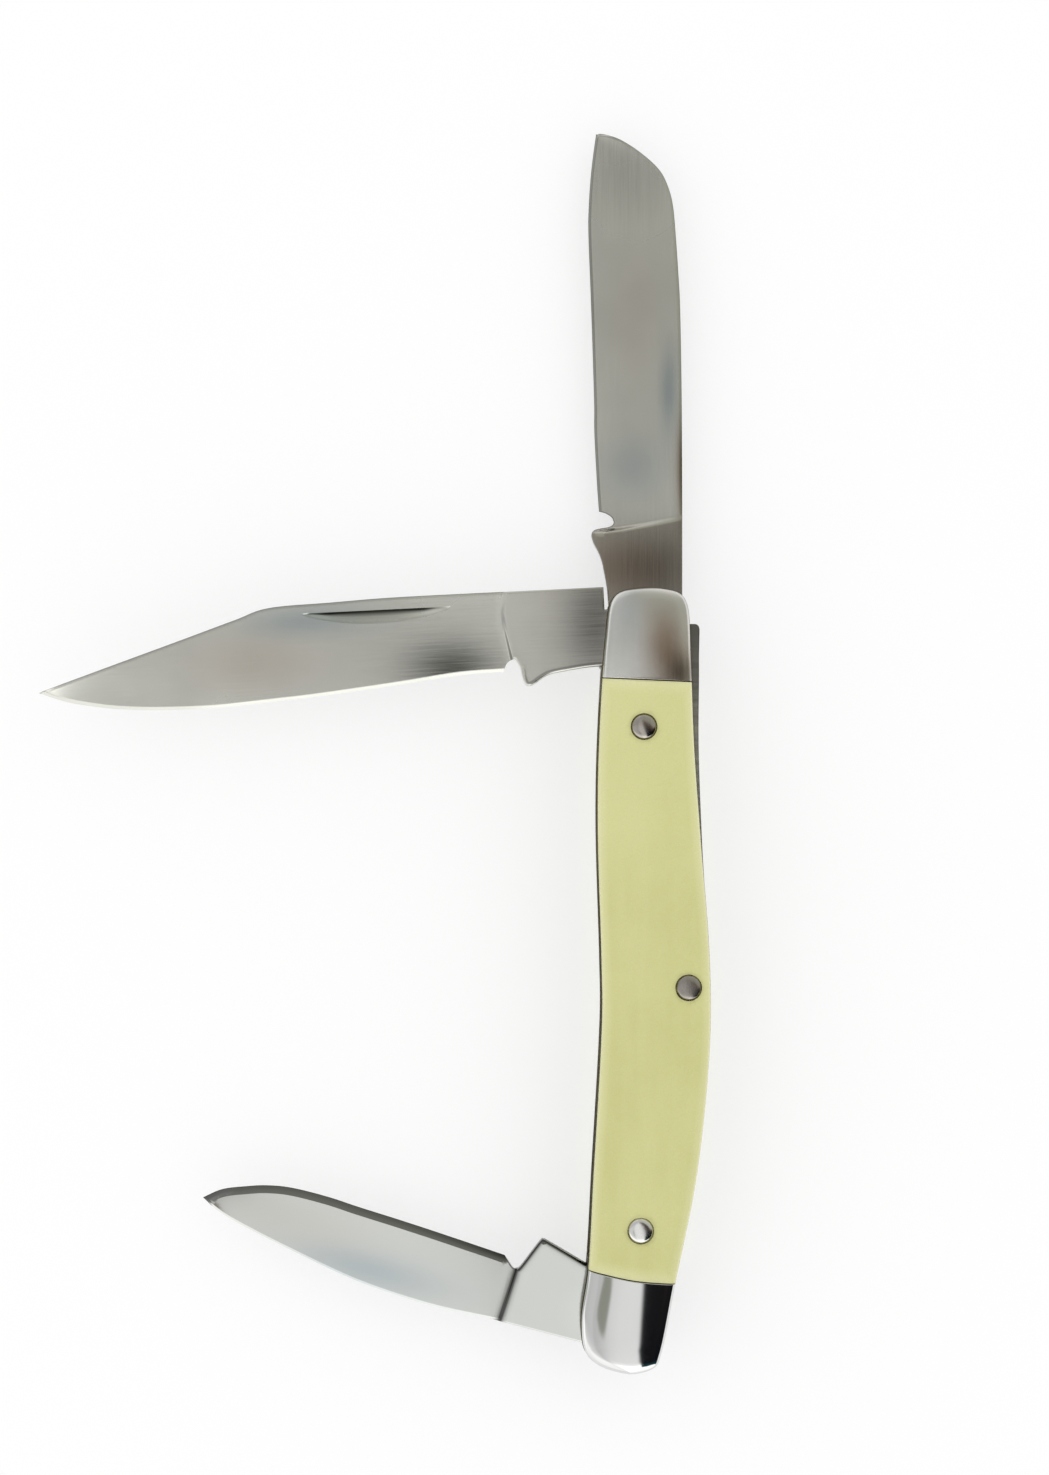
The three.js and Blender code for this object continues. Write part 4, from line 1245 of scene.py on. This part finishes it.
pinSetup = {"sunk": 0.08, "topDome": 0.1, "dome": 0.055, "springSunk": 0.2, "shank": 1.1, "pivotSunk": 0.8}
wornHead = {"dome": 0.08, "rim": 0.2, "ragged": 0.6, "finish": "wornSilver"}
plainEnds = {"dome": 0, "rim": 0}
springPin, pinHead, topLevel = handle["springPin"], handle["pinHead"], layer["top"]
# The top front pin takes the darker copy of the pin metal, which is painted shade
makeRivets("frontTopRivet", [(handle["topCoverPin"], True)], pinHead, layer["frontLiner"],
           topLevel - pinSetup["sunk"], ["front_top_cover_pin"], dome=pinSetup["topDome"],
           finish="shadedPinSilver")
makeRivets("frontBottomRivet", [(handle["bottomCoverPin"], True)], pinHead, layer["frontLiner"],
           topLevel - pinSetup["sunk"], ["front_bottom_cover_pin"], dome=pinSetup["dome"])
makeRivets("backCoverRivets", [(handle["topCoverPin"], False), (handle["bottomCoverPin"], False)], pinHead,
           pinSetup["sunk"], layer["sheepsfoot"], ["back_top_cover_pin", "back_bottom_cover_pin"],
           dome=pinSetup["dome"])
makeRivets("frontSpringRivet", [(springPin, True)], pinHead, layer["frontCover"],
           topLevel - pinSetup["springSunk"], ["spring_pin"], seed=4.0, **wornHead)
makeRivets("backSpringRivet", [(springPin, False)], pinHead, pinSetup["springSunk"], layer["backLiner"],
           ["spring_pin"], seed=2.0, **wornHead)
makeRivets("springShank", [(springPin, True)], pinSetup["shank"], layer["backLiner"], layer["frontCover"],
           ["spring_pin"], **plainEnds)
for end in ("top", "bottom"):
    makeRivets(f"{end}PivotRivet", [(handle[f"{end}Pivot"], True)], handle["pivotRadius"],
               pinSetup["pivotSunk"], topLevel - pinSetup["pivotSunk"], [f"{end}_pivot_pin"], **plainEnds)
print("pins made")


# Floor and light
studio = {"floor": (250, 250, 250), "floorSize": 3000.0, "glow": 0.62}


def makeFloor(setup):
    size = setup["floorSize"] / 2 * mm
    floor = meshFrom("floor", [(-size, -size, 0), (size, -size, 0), (size, size, 0), (-size, size, 0)],
                     [[0, 1, 2, 3]])
    floor.location.z = -0.00002
    material, tree, shader = newMaterial("floorPaper")
    setInputs(tree, shader, {"Base Color": linear(*setup["floor"]), "Roughness": 0.9,
                             "Specular IOR Level": 0.1})
    white = add(tree, "ShaderNodeEmission", {"Strength": 1.0})
    path = add(tree, "ShaderNodeLightPath")
    seen = mathsNode(tree, "MULTIPLY", path.outputs["Is Camera Ray"], setup["glow"])
    mix = add(tree, "ShaderNodeMixShader", {0: seen, 1: shader.outputs[0], 2: white.outputs[0]})
    output = next(node for node in tree.nodes if node.type == "OUTPUT_MATERIAL")
    setInputs(tree, output, {"Surface": mix.outputs[0]})
    floor.data.materials.append(material)


makeFloor(studio)

# What polished metal sees, by degrees from straight up: away is towards the top of the picture
sky = {
    "even": 1.04,
    "away": [(-88, 1.1), (-60, 1.5), (-32, 1.6), (-24, 1.1), (-15, 0.84), (-10, 0.86), (-6, 0.86),
             (-1, 0.86), (2, 0.78), (5, 0.68), (9, 0.66), (13, 0.7), (20, 0.7), (33, 0.72), (44, 0.95),
             (60, 1.0), (88, 1.1)],
    "side": [(-88, 1.0), (-60, 0.75), (-35, 0.8), (-12, 0.82), (-7, 0.74), (-3, 1.0), (0, 1.08), (4, 1.1)],
    "screenStart": 1.0, "screenLean": 0.34, "screenSoft": 1.2,
    "screenEnd": 86.0, "screenFade": 3.0, "screenTurn": 0.45, "turnEnd": 22.0,
    "screen": [(-88, (1.1, 1.1, 1.1)), (-33, (1.5, 1.5, 1.5)), (-29, (0.02, 0.07, 0.08)),
               (-16, (0.006, 0.007, 0.010)), (-6, (0.012, 0.011, 0.012)), (-1, (0.022, 0.017, 0.017)),
               (3, (0.1, 0.076, 0.065)), (6, (0.2, 0.155, 0.13)), (11, (0.5, 0.51, 0.45)),
               (22, (0.5, 0.51, 0.46)), (45, (0.6, 0.6, 0.56)), (88, (0.9, 0.9, 0.9))],
    "blot": {"side": -4.9, "away": -10.6, "wide": 1.9, "tall": 4.4, "colour": (0.33, 0.34, 0.29, 1),
             "soft": 0.35},
}


def rampOf(tree, factor, stops):
    ramp = add(tree, "ShaderNodeValToRGB", {"Fac": factor})
    elements = ramp.color_ramp.elements
    while len(elements) > 1:
        elements.remove(elements[-1])
    for index, (degrees, value) in enumerate(stops):
        place = degrees / 180 + 0.5
        element = elements[0] if index == 0 else elements.new(place)
        element.position = place
        element.color = (*value, 1) if isinstance(value, tuple) else (value / 2, value / 2, value / 2, 1)
    return ramp.outputs["Color"]


def makeSky(setup):
    world = bpy.data.worlds.new("studio")
    scene.world = world
    world.use_nodes = True
    world.cycles.sampling_method = "NONE"
    tree = world.node_tree
    tree.nodes.clear()
    direction = add(tree, "ShaderNodeTexCoord").outputs["Generated"]
    parts = add(tree, "ShaderNodeSeparateXYZ", {"Vector": direction})
    maths = partial(mathsNode, tree)
    height = maths("MAXIMUM", parts.outputs["Z"], 0.01)
    side = maths("MULTIPLY", maths("ARCTAN2", parts.outputs["X"], height), 180 / math.pi)
    away = maths("MULTIPLY", maths("ARCTAN2", parts.outputs["Y"], height), 180 / math.pi)
    sideShare = maths("ADD", maths("DIVIDE", side, 180.0), 0.5)
    awayShare = maths("ADD", maths("DIVIDE", away, 180.0), 0.5)
    fromAway, fromSide = rampOf(tree, awayShare, setup["away"]), rampOf(tree, sideShare, setup["side"])
    lit = mixColours(tree, 1.0, fromAway, fromSide, "MULTIPLY")
    edge = maths("SUBTRACT", maths("ADD", side, maths("MULTIPLY", away, setup["screenLean"])),
                 setup["screenStart"])
    begins = between(tree, edge, 0, 1, 0, setup["screenSoft"], interpolation_type="SMOOTHSTEP")
    ends = between(tree, side, 1.0, 0.0, setup["screenEnd"], setup["screenEnd"] + setup["screenFade"])
    lean = maths("MULTIPLY", maths("MINIMUM", side, setup["turnEnd"]), setup["screenTurn"] / 180)
    level = maths("ARCSINE", parts.outputs["Y"])
    screenShare = maths("ADD", maths("ADD", maths("DIVIDE", level, math.pi), 0.5), lean)
    screen = rampOf(tree, screenShare, setup["screen"])
    bright = mixColours(tree, 1.0, lit, (4, 4, 4, 1), "MULTIPLY")
    seen = mixColours(tree, maths("MULTIPLY", begins, ends), bright, screen)
    blot = setup["blot"]
    offset = add(tree, "ShaderNodeCombineXYZ", {
        "X": maths("DIVIDE", maths("SUBTRACT", side, blot["side"]), blot["wide"]),
        "Y": maths("DIVIDE", maths("SUBTRACT", away, blot["away"]), blot["tall"])})
    reach = add(tree, "ShaderNodeVectorMath", {0: offset.outputs[0]}, operation="LENGTH").outputs["Value"]
    inBlot = between(tree, reach, 0, 1, 1.0, 1.0 - blot["soft"], interpolation_type="SMOOTHSTEP")
    seen = mixColours(tree, inBlot, seen, blot["colour"])
    reflected = add(tree, "ShaderNodeBackground", {"Color": seen, "Strength": 1.0})
    even = add(tree, "ShaderNodeBackground", {"Color": (1, 1, 1, 1), "Strength": setup["even"]})
    path = add(tree, "ShaderNodeLightPath")
    mix = add(tree, "ShaderNodeMixShader", {0: path.outputs["Is Glossy Ray"], 1: even.outputs[0],
                                            2: reflected.outputs[0]})
    add(tree, "ShaderNodeOutputWorld", {"Surface": mix.outputs[0]})


makeSky(sky)
print("floor and light made")
